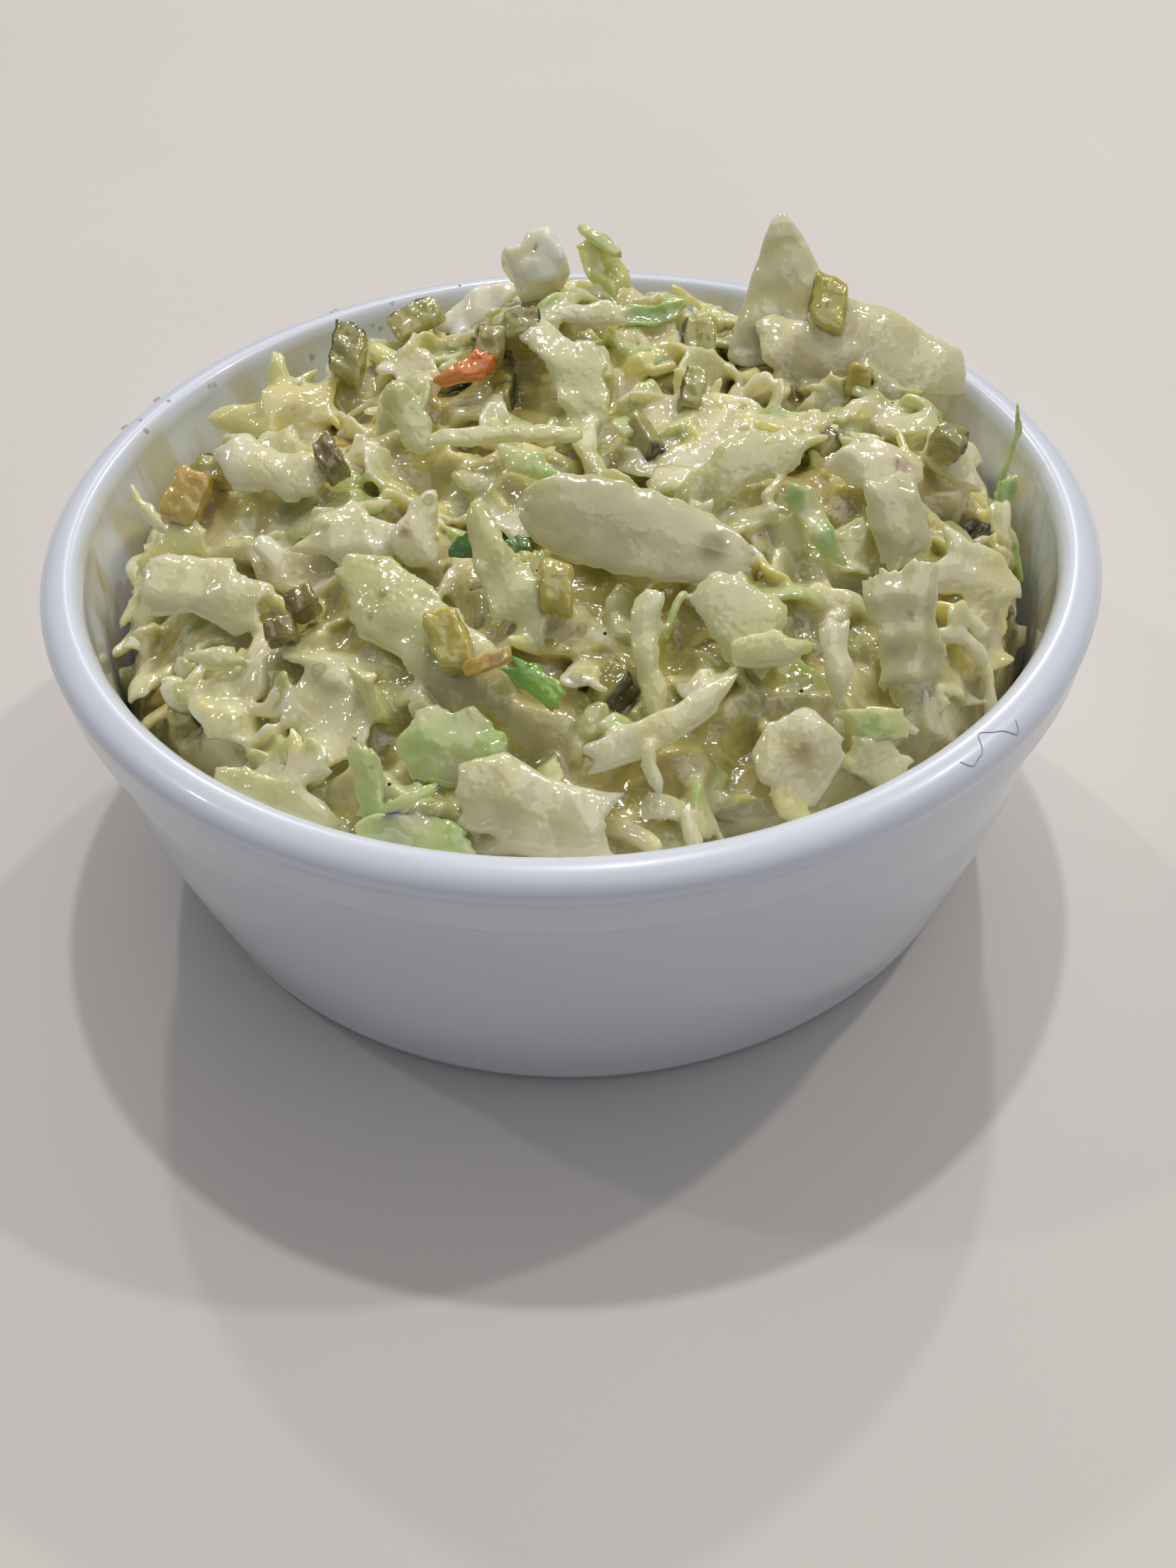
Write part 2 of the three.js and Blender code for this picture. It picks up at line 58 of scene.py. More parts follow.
# ---------------------------------------------------------------- the bowl's outline, in millimetres
LIP_RADIUS = 57.5
LIP_HEIGHT = 38.6
BOWL_HEIGHT = 40.6
LIP_OUT = 3.0
LIP_IN = 1.6
BAND_RADIUS = 57.0
BAND_BOTTOM = 33.6
WALL_TOP_RADIUS = 54.9
WALL_BASE_RADIUS = 49.4
WALL_BULGE = 1.3
WALL = 2.9
CORNER_HEIGHT = 3.0
FOOT_OUTER = 46.5
FOOT_INNER = 40.5
FOOT_DEPTH = 1.2
FLOOR = 3.6
INNER_CORNER = 9.0
INNER_TOP = LIP_HEIGHT - 0.4
INNER_TOP_RADIUS = LIP_RADIUS - LIP_OUT - LIP_IN

# ---------------------------------------------------------------- the heap's form, in millimetres
# Height at which the slaw meets the wall, and width of the slope up from there, at equal steps from +X.
WALL_CONTACT = (28, 26, 31, 22, 29, 36, 37.5, 34)
SLOPE_WIDTH = (9, 11, 12, 16, 11, 8, 7, 8)
DOME_EDGE = 38.0
DOME_RISE = 10.5
DOME_RADIUS = 58.0
DOME_CENTRE = (2.0, 5.0)
# Rises and hollows in the dome: x, y, height, spread.
RISES = (
    (1, 28, 5, 11),
    (27, 23, 3.5, 11),
    (38, 19, 3, 8),
    (-14, 22, 2, 9),
    (-28, -3, 2.5, 12),
    (13, -8, 2.5, 13),
    (33, -10, 2, 11),
    (-6, -30, 2, 12),
    (21, -34, 1.5, 9),
    (-15, -4, -3.5, 4.5),
    (0, -10, -3.5, 6.5),
    (9, -30, -3.0, 4.0),
    (1, -44, -2.0, 4.0),
    (-42, -18, -2.5, 4.0),
    (24, -1, -2.0, 5.0),
    (-22, 12, -2.0, 5.0),
)
WALL_GAP = 0.35  # between the slaw and the wall
CELL = 0.75  # side of a cell of the height grid
REACH = 56.0  # half the side of the height grid

# The pieces that stand out: name, kind, middle, (heading, pitch, roll) in degrees, (length, width,
# thickness), and how each is bent and cut: curl along it, cup across it, bow sideways, taper for the far
# end's share of the width, and blunt, from 2 for an oval to 14 for a block.
NAMED_PIECES = (
    ("big leaf", "clear", (6.5, -21, 51), (-15, -10, 35), (24, 10.5, 1.3),
     dict(curl=20, cup=15, taper=0.72, blunt=2.5, corners=0, ragged=0.35, crumple=0.1)),
    ("peak leaf", "peak", (27, 27, 51), (95, 50, -10), (18, 18, 1.1),
     dict(curl=-14, cup=18, taper=0.1, blunt=9, corners=0, ragged=0.12)),
    ("peak flank", "white", (38.5, 21.5, 46.5), (-8, -22, 34), (23, 11, 1.3),
     dict(cup=24, taper=0.8, blunt=5, jag=0.2)),
    ("peak apron", "white", (28.5, 20.5, 47.0), (-20, -8, 38), (13, 8, 1.1), dict(cup=20, jag=0.35)),
    ("stem slab", "stem", (-10.5, 33, 47), (25, 20, 15), (11.5, 5, 1.6), dict(blunt=4)),
    ("curled leaf", "lime", (5.5, 30, 53.5), (-60, -35, 10), (9, 6.5, 0.8),
     dict(cup=55, taper=0.8, blunt=3)),
    ("curl stalk", "green", (5, 31, 56), (-35, -20, 15), (6.5, 1.5, 1.0), dict(blunt=4)),
    ("green horn", "mint", (11.5, 26, 49), (20, 5, 35), (10.5, 4, 0.8),
     dict(cup=-35, bow=45, taper=0.35, blunt=3)),
    ("flat white", "white", (4, 19.5, 52.5), (-5, -5, 30), (9.5, 3.5, 1.1), dict(blunt=2.5)),
    ("drip leaf", "pale", (2, 10, 50.5), (-70, -30, 10), (18, 9.5, 1.0),
     dict(curl=30, bow=-30, taper=0.5, jag=0.4, ragged=0.6)),
    ("long strip", "pale", (-6.5, -1, 50), (0, 0, 25), (17.5, 2.5, 1.1),
     dict(curl=15, bow=-12, blunt=5)),
    ("green under", "green", (-3.5, -5.5, 49), (-30, -10, 25), (9.5, 4, 0.8),
     dict(cup=20, taper=0.6, blunt=3)),
    ("tan oval", "pale", (-16.5, 2.5, 50), (-65, -35, 10), (10, 5, 1.0),
     dict(cup=25, taper=0.8, blunt=2.5)),
    ("left dome leaf", "white", (-31, -3.5, 48.5), (-15, -5, 25), (14, 8, 1.2), dict(cup=34, jag=0.35)),
    ("cream peak", "white", (-15, -13.5, 48), (65, 30, 15), (9, 8, 1.3),
     dict(taper=0.1, blunt=6, jag=0.2)),
    ("cream shoulder", "white", (-22, -14, 46.5), (-12, -6, 30), (13, 9, 1.2), dict(cup=24, jag=0.4)),
    ("finger leaf", "pale", (-6.5, -24.5, 49), (-65, -30, 15), (15.5, 7, 1.0),
     dict(cup=20, taper=1.8, jag=0.35)),
    ("diagonal leaf", "pale", (-15, -28, 46), (-40, -10, 25), (26, 10.5, 1.2),
     dict(curl=20, cup=22, taper=0.75, jag=0.3, ragged=0.5)),
    ("rounded green", "green", (-11.5, -41, 42.2), (-15, -10, 35), (10, 8, 0.8),
     dict(cup=30, corners=16, jag=0.1)),
    ("yellow-green stalk", "green", (-19, -44, 40.5), (-80, -40, 5), (8, 3, 1.0),
     dict(cup=20, taper=0.8, blunt=6)),
    ("stalk branch", "green", (-15, -46, 40.5), (20, 15, 35), (5.5, 2.5, 0.9),
     dict(cup=20, taper=0.1, blunt=4)),
    ("lip leaf", "pale", (-27.5, -43, 38), (-25, -10, 35), (14.5, 4.5, 1.0),
     dict(curl=25, bow=-20, blunt=4)),
    ("lip green", "green", (-14.5, -48.5, 38.5), (-15, -5, 35), (11, 4.5, 0.8), dict(cup=15, blunt=3)),
    ("fan leaf", "white", (-4, -47.5, 40), (-15, -10, 35), (17, 11, 1.2),
     dict(cup=15, taper=1.3, jag=0.42, ragged=0.6)),
    ("forked shred", "white", (7.5, -42, 44), (20, 15, 30), (18, 4.4, 1.5),
     dict(curl=25, bow=34, taper=0.8, corners=12, jag=0.3)),
    ("fork prong", "white", (6.5, -46, 42.5), (-75, -35, 10), (5.5, 2, 1.3), dict(taper=0.4, blunt=3)),
    ("wavy strap", "pale", (6.5, -33, 46), (-90, -35, 0), (14, 3.6, 1.1),
     dict(cup=25, bow=30, corners=11, jag=0.25)),
    ("block leaf", "pale", (16, -30, 47), (-50, -25, 20), (11.5, 8, 1.1), dict(cup=15, jag=0.38)),
    ("block end", "pale", (18, -34.5, 46.5), (-5, 0, 35), (8.5, 4, 1.3), dict(corners=9, jag=0.4)),
    ("hanging leaf", "clear", (31.5, -30, 45), (-80, -40, 10), (14.5, 9.5, 1.1),
     dict(curl=15, cup=18, taper=0.8, jag=0.28, ragged=0.6)),
    ("hanging shred", "white", (24, -35, 45.5), (-90, -35, 0), (10, 3.4, 1.0),
     dict(cup=20, bow=30, corners=10, jag=0.3)),
    ("clear leaf", "clear", (33, -16, 47.5), (-80, -35, 5), (11.5, 6.5, 1.0),
     dict(cup=22, jag=0.3, ragged=0.5)),
    ("right white", "white", (32.5, -8.5, 48.5), (-20, -15, 25), (11.5, 7.5, 1.5),
     dict(cup=20, jag=0.35)),
    ("mid leaf", "pale", (18, -10, 51), (25, 15, 30), (16.5, 6, 1.1),
     dict(curl=20, cup=25, bow=-25, jag=0.25)),
    ("right green", "mint", (24.5, -17, 48), (-60, -30, 15), (10.5, 4, 0.8),
     dict(cup=20, taper=0.6, blunt=3)),
    ("right cream", "white", (40.5, -19, 43), (-30, -30, 25), (10, 9, 1.4), dict(cup=20, jag=0.45)),
    ("right curl a", "white", (38.5, -27, 40.5), (-20, -30, 30), (7, 2, 1.2), dict(bow=-80, blunt=4)),
    ("right curl b", "white", (41, -29, 36), (-80, -45, -5), (6.5, 1.5, 1.1), dict(bow=-30, blunt=4)),
    ("frill", "green", (28, -39, 41), (10, -5, 45), (7.5, 4, 0.8), dict(curl=50, bow=-40, blunt=3)),
    ("frill foot", "pale", (27.5, -41.5, 38.5), (-20, -25, 40), (6.5, 5, 0.9), dict(cup=20, blunt=5)),
    ("spot leaf", "white", (20, -43, 41.2), (50, 30, 30), (9, 8, 1.3), dict(cup=20, jag=0.15)),
    ("yellow flap", "yellow", (19, -47, 38), (-15, -20, 35), (4, 2.5, 1.0), dict(blunt=3)),
    ("lip arc", "white", (9.5, -49.5, 38.5), (-70, -35, 10), (5.5, 1.5, 1.0), dict(bow=60, blunt=4)),
    ("tendril", "mint", (50, 4, 43), (65, 55, 10), (9, 0.9, 0.9),
     dict(bow=25, taper=0.4, blunt=4, corners=0)),
    ("tendril foot", "mint", (49, 2, 36.5), (60, 45, 20), (7, 2, 1.4), dict(taper=0.8, blunt=3)),
    ("right chunk", "white", (41.5, -2, 45), (-40, -25, 20), (9, 4.5, 1.8), dict(blunt=6)),
    ("star horn", "yellow", (-33, 18.5, 46.0), (95, 40, 0), (9, 5, 1.4),
     dict(cup=30, taper=0.3, jag=0.2)),
    ("star arm", "yellow", (-37, 13.5, 44.5), (-15, 8, 35), (11, 5, 1.4),
     dict(cup=25, taper=1.5, jag=0.4)),
    ("star body", "yellow", (-30.5, 15.5, 45.0), (30, -6, 32), (11, 8, 1.3), dict(cup=20, jag=0.45)),
    ("left jag leaf", "white", (-37.5, -17, 43), (-10, -5, 32), (14, 9, 1.1),
     dict(cup=26, taper=1.3, jag=0.42)),
    ("left yellow point", "yellow", (-42, -8, 42.5), (20, 26, 25), (9.5, 6, 1.1),
     dict(cup=20, taper=1.5, jag=0.4)),
    ("left point", "pale", (-35, -26, 41.5), (-5, 0, 30), (6, 3.5, 1.0),
     dict(cup=20, taper=1.3, blunt=3)),
    ("left shred", "white", (-45.5, -2, 42.5), (-45, -25, 35), (8.5, 1.5, 1.0), dict(bow=30, blunt=3)),
    ("carrot", "carrot", (-10.5, 11.2, 50.8), (20, 10, 30), (8, 4.2, 2.6),
     dict(taper=2.2, corners=7, jag=0.1)),
    ("parsley a", "parsley", (-10, -19.5, 49.1), (5, 5, 30), (5, 3.4, 0.7),
     dict(cup=20, corners=7, jag=0.3)),
    ("parsley b", "parsley", (-5, -20.5, 49.6), (-10, -5, 30), (3, 1.8, 0.6), dict(corners=6, jag=0.3)),
    ("green sliver", "sprig", (-3.5, -37, 46.1), (-35, -25, 30), (7.5, 3, 0.7),
     dict(cup=25, corners=11, jag=0.5)),
)

# The dice that stand out: name, kind, middle, (heading, pitch, roll), size.
NAMED_DICE = (
    ("stem cube", "stem", (-2.5, 29, 54), (15, 25, 35), (6.5, 6, 5)),
    ("pickle a", "skinned", (-4.5, 17, 52.5), (0, 0, 30), (4.5, 3.5, 3.5)),
    ("pickle b", "skinned", (-8, 15, 51.5), (80, 35, 5), (4, 3, 3.2)),
    ("pickle c", "skinned", (-25, 22, 47.5), (80, 30, 0), (6.5, 4, 3.2)),
    ("pickle d", "olive", (-17.5, 30, 47.5), (25, 15, 20), (6.5, 4, 2)),
    ("pickle e", "brown", (-24.5, -4.5, 50), (-60, -30, 15), (4.5, 2.5, 3)),
    ("amber", "amber", (-40.5, -4, 45.5), (60, 35, 15), (6, 4, 2.6)),
    ("pickle f", "olive", (-38, 0, 46), (-10, 0, 30), (3.5, 3, 3.2)),
    ("pickle g", "brown", (-26.5, -22.5, 45), (25, 15, 25), (3, 2.5, 3)),
    ("pickle h", "brown", (-28.5, -25.5, 44), (5, 5, 25), (3, 2.5, 3)),
    ("pickle i", "skinned", (40.5, -3, 48), (-25, -15, 15), (3.5, 3, 3.2)),
    ("pickle j", "gold", (31.5, 24, 50.5), (75, 30, 5), (7, 4, 3.2)),
    ("pickle k", "gold", (-1.5, -27, 49), (85, 35, 5), (5, 3, 3)),
    ("pickle l", "gold", (-11.5, -32, 47), (-70, -30, 15), (6, 3.5, 2.6)),
    ("pickle m", "amber", (-8, -34.5, 46.5), (15, 10, 35), (4.5, 1.5, 1.4)),
    ("pickle n", "olive", (16, 22, 47), (80, 30, 0), (6, 4, 3)),
    ("pickle o", "olive", (14, 6, 50), (75, 25, 5), (5, 2.5, 3)),
)

# Marks on pieces that stand out: colour, place along and across from the middle, radius, and strength.
STAINS = {
    "big leaf": ("7A7610", 7.6, 0.3, 1.7, 1.0),
    "hanging leaf": ("7A4A3A", -0.7, 0.5, 0.4, 0.95),
    "right white": ("8A4468", 1.6, 1.0, 0.95, 0.9),
    "spot leaf": ("BC9A2C", 0.4, 0.3, 1.0, 0.85),
    "stem cube": ("4A3A2A", 0.8, 0.6, 0.35, 0.9),
    "cream peak": ("9A4A2E", -1.6, 0.8, 0.6, 0.85),
}

# Two sRGB colours for each kind of piece; each piece runs from near one to near the other.
PALETTE = {
    "white": ("FAF4D4", "EEE5B4"),
    "pale": ("EAE8BC", "D4D498"),
    "clear": ("DEDAB6", "CCC89C"),
    "peak": ("F4EFD4", "E6E2BA"),
    "green": ("B6D07E", "DAE2A4"),
    "mint": ("98BC68", "BCCF92"),
    "lime": ("CBD27E", "D8DE9C"),
    "yellow": ("F8EEA6", "EFE29A"),
    "stem": ("FFFAEC", "F8F0DA"),
    "skinned": ("A6A056", "BAB070"),
    "olive": ("B4AE5E", "C8C07A"),
    "brown": ("7C6C30", "9C8C4C"),
    "gold": ("CABC4C", "C8BC5C"),
    "amber": ("CCA43E", "D8BC66"),
    "carrot": ("F87A0A", "F89A38"),
    "parsley": ("4C8238", "6C9C4C"),
    "sprig": ("78B028", "A0CC4C"),
}
PICKLE_SKIN = "2A2E14"
CREAM = "EFE6B8"  # dressing over the pieces
DEEP = "8A7C30"  # painted shade: the darker olive of dressing that lies deep between the pieces
SMEAR = "D2CB98"  # dressing on the bowl's wall, darker than it also as painted shade
JUICE = np.array((0.68, 0.645, 0.3))  # painted shade: how much darker and yellower what lies in the hollows is painted
BOWL_COLOUR = "E8EDFA"
TABLE_COLOUR = "E1DCD6"


def linear(code):
    """An sRGB colour such as E3DFC4 as linear red, green and blue."""
    value = np.array([int(code[i : i + 2], 16) for i in (0, 2, 4)]) / 255
    return np.where(value <= 0.04045, value / 12.92, ((value + 0.055) / 1.055) ** 2.4)


def smoothstep(low, high, value):
    """0 at low, 1 at high, and an even rise between."""
    t = np.clip((value - low) / (high - low), 0, 1)
    return t * t * (3 - 2 * t)


def lerp(a, b, t):
    """a where t is 0, b where it is 1."""
    return a + (b - a) * t


# ---------------------------------------------------------------- forms of the bowl and the heap
def outer_wall(z):
    """Outer radius of the wall at a height."""
    t = np.clip((np.asarray(z, float) - CORNER_HEIGHT) / (BAND_BOTTOM - CORNER_HEIGHT), 0, 1)
    return lerp(WALL_BASE_RADIUS, WALL_TOP_RADIUS, t) + WALL_BULGE * np.sin(math.pi * t)


def inner_wall(z):
    """Inner radius of the bowl at a height, from the floor's corner to the lip."""
    z = np.asarray(z, float)
    corner_top = FLOOR + INNER_CORNER
    flat = float(outer_wall(corner_top)) - WALL - INNER_CORNER
    down = np.clip((corner_top - z) / INNER_CORNER, 0, 1)
    corner = flat + INNER_CORNER * np.sqrt(1 - down**2)
    t = np.clip((z - BAND_BOTTOM) / (INNER_TOP - BAND_BOTTOM), 0, 1)
    lip = lerp(WALL_TOP_RADIUS - WALL, INNER_TOP_RADIUS, t)
    return np.where(z < corner_top, corner, np.where(z < BAND_BOTTOM, outer_wall(z) - WALL, lip))


def round_the_bowl(values, angle):
    """A value given at equal steps round the bowl from +X, smoothly carried between them."""
    values = np.asarray(values, float)
    place = (angle / (2 * math.pi) % 1) * len(values)
    index = np.floor(place).astype(int)
    t = smoothstep(0, 1, place - index)
    return lerp(values[index % len(values)], values[(index + 1) % len(values)], t)


def slaw_height(x, y):
    """Height of the slaw's surface over a point."""
    angle = np.arctan2(y, x)
    contact = round_the_bowl(WALL_CONTACT, angle)
    width = round_the_bowl(SLOPE_WIDTH, angle)
    away = (x - DOME_CENTRE[0]) ** 2 + (y - DOME_CENTRE[1]) ** 2
    dome = DOME_EDGE + DOME_RISE * (1 - away / DOME_RADIUS**2)
    for rise_x, rise_y, height, spread in RISES:
        dome = dome + height * np.exp(-((x - rise_x) ** 2 + (y - rise_y) ** 2) / spread**2)
    inwards = np.clip((inner_wall(contact) - np.hypot(x, y)) / width, 0, 1)
    return lerp(contact, dome, 1 - (1 - inwards) ** 2)


def slope_normal(x, y, reach=2.5):
    """The upward normal of the slaw's surface over a point."""
    along_x = (slaw_height(x + reach, y) - slaw_height(x - reach, y)) / (2 * reach)
    along_y = (slaw_height(x, y + reach) - slaw_height(x, y - reach)) / (2 * reach)
    normal = np.array([-along_x, -along_y, 1.0])
    return normal / np.linalg.norm(normal)


RIPPLE_SPREAD = (0.6, 1.5)  # how many waves to a wavelength, at least and at most
RIPPLE_PEAK = 1.6  # how far a sum of waves strays, for a usual stray of 1


def ripples(points, wavelength, rng, waves=7):
    """A smooth random field over points, about -1 to 1, with bumps of about the wavelength."""
    axes = points.shape[-1]
    total = np.zeros(points.shape[:-1])
    for _ in range(waves):
        direction = rng.normal(size=axes)
        direction *= 2 * math.pi / wavelength / np.linalg.norm(direction) * rng.uniform(*RIPPLE_SPREAD)
        total += np.sin(points @ direction + rng.uniform(0, 2 * math.pi))
    return total / math.sqrt(waves / 2) / RIPPLE_PEAK


# ---------------------------------------------------------------- meshes
def new_mesh(name, points, faces, scale=MM):
    """A smooth-shaded mesh from points in millimetres and arrays of faces, one to a number of corners."""
    mesh = bpy.data.meshes.new(name)
    groups = [np.asarray(f, np.int32) for f in faces if len(f)]
    loops = np.concatenate([g.ravel() for g in groups])
    sizes = np.concatenate([np.full(len(g), g.shape[1], np.int32) for g in groups])
    mesh.vertices.add(len(points))
    move_points(mesh, np.asarray(points) * scale)
    mesh.loops.add(len(loops))
    mesh.loops.foreach_set("vertex_index", loops)
    mesh.polygons.add(len(sizes))
    starts = np.concatenate([[0], np.cumsum(sizes)[:-1]])
    mesh.polygons.foreach_set("loop_start", starts.astype(np.int32))
    mesh.update(calc_edges=True)
    mesh.validate()
    mesh.shade_smooth()
    return mesh


def new_object(name, data):
    piece = bpy.data.objects.new(name, data)
    bpy.context.scene.collection.objects.link(piece)
    return piece


def paint_points(mesh, colours):
    """Writes a mesh's painted tint."""
    rgba = np.ones((len(colours), 4), np.float32)
    rgba[:, :3] = colours
    mesh.color_attributes.new("tint", "FLOAT_COLOR", "POINT").data.foreach_set("color", rgba.ravel())


def write_points(mesh, name, kind, field, values):
    """Writes one value for each point of a mesh."""
    attribute = mesh.attributes.new(name, kind, "POINT")
    attribute.data.foreach_set(field, np.asarray(values, np.float32).ravel())


def write_grain(mesh, flat):
    """Writes where each point lies on its own piece laid flat, which leads the fibres."""
    write_points(mesh, "grain", "FLOAT_VECTOR", "vector", flat)


def read_all(items, field, width=1, kind=np.float32):
    """One property of every point, edge or face, as rows of an array."""
    values = np.empty(len(items) * width, kind)
    items.foreach_get(field, values)
    return values.reshape(-1, width) if width > 1 else values


def points_of(mesh):
    return read_all(mesh.vertices, "co", 3).astype(float)


def move_points(mesh, points):
    mesh.vertices.foreach_set("co", np.asarray(points, np.float32).ravel())


def turned_frame(heading, pitch, roll):
    """The length, width and upward directions of a piece turned by these angles."""
    h, p, r = np.radians([heading, pitch, roll])
    along = np.array([math.cos(h) * math.cos(p), math.sin(h) * math.cos(p), math.sin(p)])
    level = np.array([-math.sin(h), math.cos(h), 0.0])
    up = np.cross(along, level)
    across = math.cos(r) * level + math.sin(r) * up
    return along, across, np.cross(along, across)


def frame_on(normal, heading):
    """The length, width and upward directions of a piece lying on a slope."""
    along = np.array([math.cos(heading), math.sin(heading), 0.0])
    along = along - normal * (along @ normal)
    along /= np.linalg.norm(along)
    return along, np.cross(normal, along), normal


def leaned(directions, pitch, roll):
    """Directions of a piece after its far end is lifted by pitch and one side by roll, in radians."""
    along, across, up = directions
    along, up = (
        math.cos(pitch) * along + math.sin(pitch) * up,
        math.cos(pitch) * up - math.sin(pitch) * along,
    )
    across, up = (
        math.cos(roll) * across + math.sin(roll) * up,
        math.cos(roll) * up - math.sin(roll) * across,
    )
    return along, across, up


NO_BEND = 1e-3  # radians; a flat piece is bent this little, so that its radius is finite
END_TRIM = 0.02  # share of the length left off at each end of an even outline, where it closes
TEAR_SHARES = (1, 0.6, 0.4)
LONG_TEARS = (4.2, 2.1, 1.1)  # lengths of the waves of a torn edge
SIDE_TEARS = (3.6, 1.9, 1.1)
END_TEARS = (1.7, 0.9, 0.5)
CLEAN_OR_TORN = (0.15, 1.0)  # share of the raggedness on a cut side and on a torn one
CORNER_STRAY = 0.32  # how far a chopped corner strays, as a share of the step between corners
CORNER_REACH = (0.82, 1.14)
NOTCH_CHANCE = 0.4
NOTCH_DEPTH = (0.4, 1.0)
FOLDS = ((1, 5.5), (0.2, 2.2))  # share and length of the folds in a crumpled piece
RIM_POWER = 8  # the higher, the nearer to the edge a piece keeps its thickness
CUT_LEAN = 0.12  # how far a die's sides lean out of square


def torn(place, rng, waves=LONG_TEARS):
    """How far a torn edge strays along its length, about -1 to 1."""
    total = np.zeros_like(place)
    for share, wave in zip(TEAR_SHARES, waves):
        wave = wave * rng.uniform(0.7, 1.4)
        total += share * np.sin(2 * math.pi * place / wave + rng.uniform(0, 2 * math.pi))
    return total / sum(TEAR_SHARES)


def square_to_round(along, over):
    """Distance from the middle, 0 to 1, and direction on a round plan for points of a square grid."""
    away = np.maximum(np.abs(along), np.abs(over))
    lengthwise = np.abs(along) >= np.abs(over)
    share = np.where(lengthwise, over, along) / np.maximum(away, 1e-9)
    side = np.where(
        lengthwise, np.where(along >= 0, 0, math.pi), np.where(over >= 0, 0.5 * math.pi, 1.5 * math.pi)
    )
    turn = np.where(lengthwise, share * np.sign(along), -share * np.sign(over)) * math.pi / 4
    return away, side + turn


def even_reach(direction, blunt):
    """Distance from the middle to an even outline, for a half size of 1."""
    return (np.abs(np.cos(direction)) ** blunt + np.abs(np.sin(direction)) ** blunt) ** (-1 / blunt)


def cut_reach(direction, rng, corners, blunt, jag):
    """Distance from the middle to a chopped outline with straight sides, and the side met.

    jag is how deep its notches go, as a share of the piece's half size.
    """
    step = 2 * math.pi / corners
    stray = rng.uniform(-CORNER_STRAY, CORNER_STRAY, corners)
    spots = (np.arange(corners) + stray) * step + rng.uniform(0, step)
    reach = even_reach(spots, blunt) * rng.uniform(*CORNER_REACH, corners)
    reach *= 1 - jag * (rng.random(corners) < NOTCH_CHANCE) * rng.uniform(*NOTCH_DEPTH, corners)
    x, y = reach * np.cos(spots), reach * np.sin(spots)
    turned_on = (direction - spots[0]) % (2 * math.pi) + spots[0]
    side = np.searchsorted(spots, turned_on, side="right") - 1
    after = (side + 1) % corners
    side_x, side_y = x[after] - x[side], y[after] - y[side]
    facing = np.cos(direction) * side_y - np.sin(direction) * side_x
    return (x[side] * side_y - y[side] * side_x) / facing, side


def bent(x, y, offset, size, curl, cup, bow, twist):
    """Points of a flat plan after it is cupped across, twisted, bowed sideways and curled along."""
    length, width = size[:2]
    cup_angle = math.radians(cup) or NO_BEND
    cup_radius = 0.5 * width / cup_angle
    a = y / cup_radius
    side = (cup_radius + offset) * np.sin(a)
    lift = (cup_radius + offset) * np.cos(a) - cup_radius
    turn = math.radians(twist) * x / length
    side, lift = side * np.cos(turn) - lift * np.sin(turn), side * np.sin(turn) + lift * np.cos(turn)
    bow_angle = math.radians(bow) or NO_BEND
    b = bow_angle * x / length
    far = length / bow_angle * np.sin(b) - side * np.sin(b)
    sideways = length / bow_angle * (1 - np.cos(b)) + side * np.cos(b)
    curl_radius = length / (math.radians(curl) or NO_BEND)
    c = far / curl_radius
    radius = curl_radius + lift
    return np.stack([radius * np.sin(c), sideways, radius * np.cos(c) - curl_radius], -1)


def quads_of(grid):
    """The quads between the points of a grid of indices."""
    return np.stack([grid[:-1, :-1], grid[1:, :-1], grid[1:, 1:], grid[:-1, 1:]], -1).reshape(-1, 4)


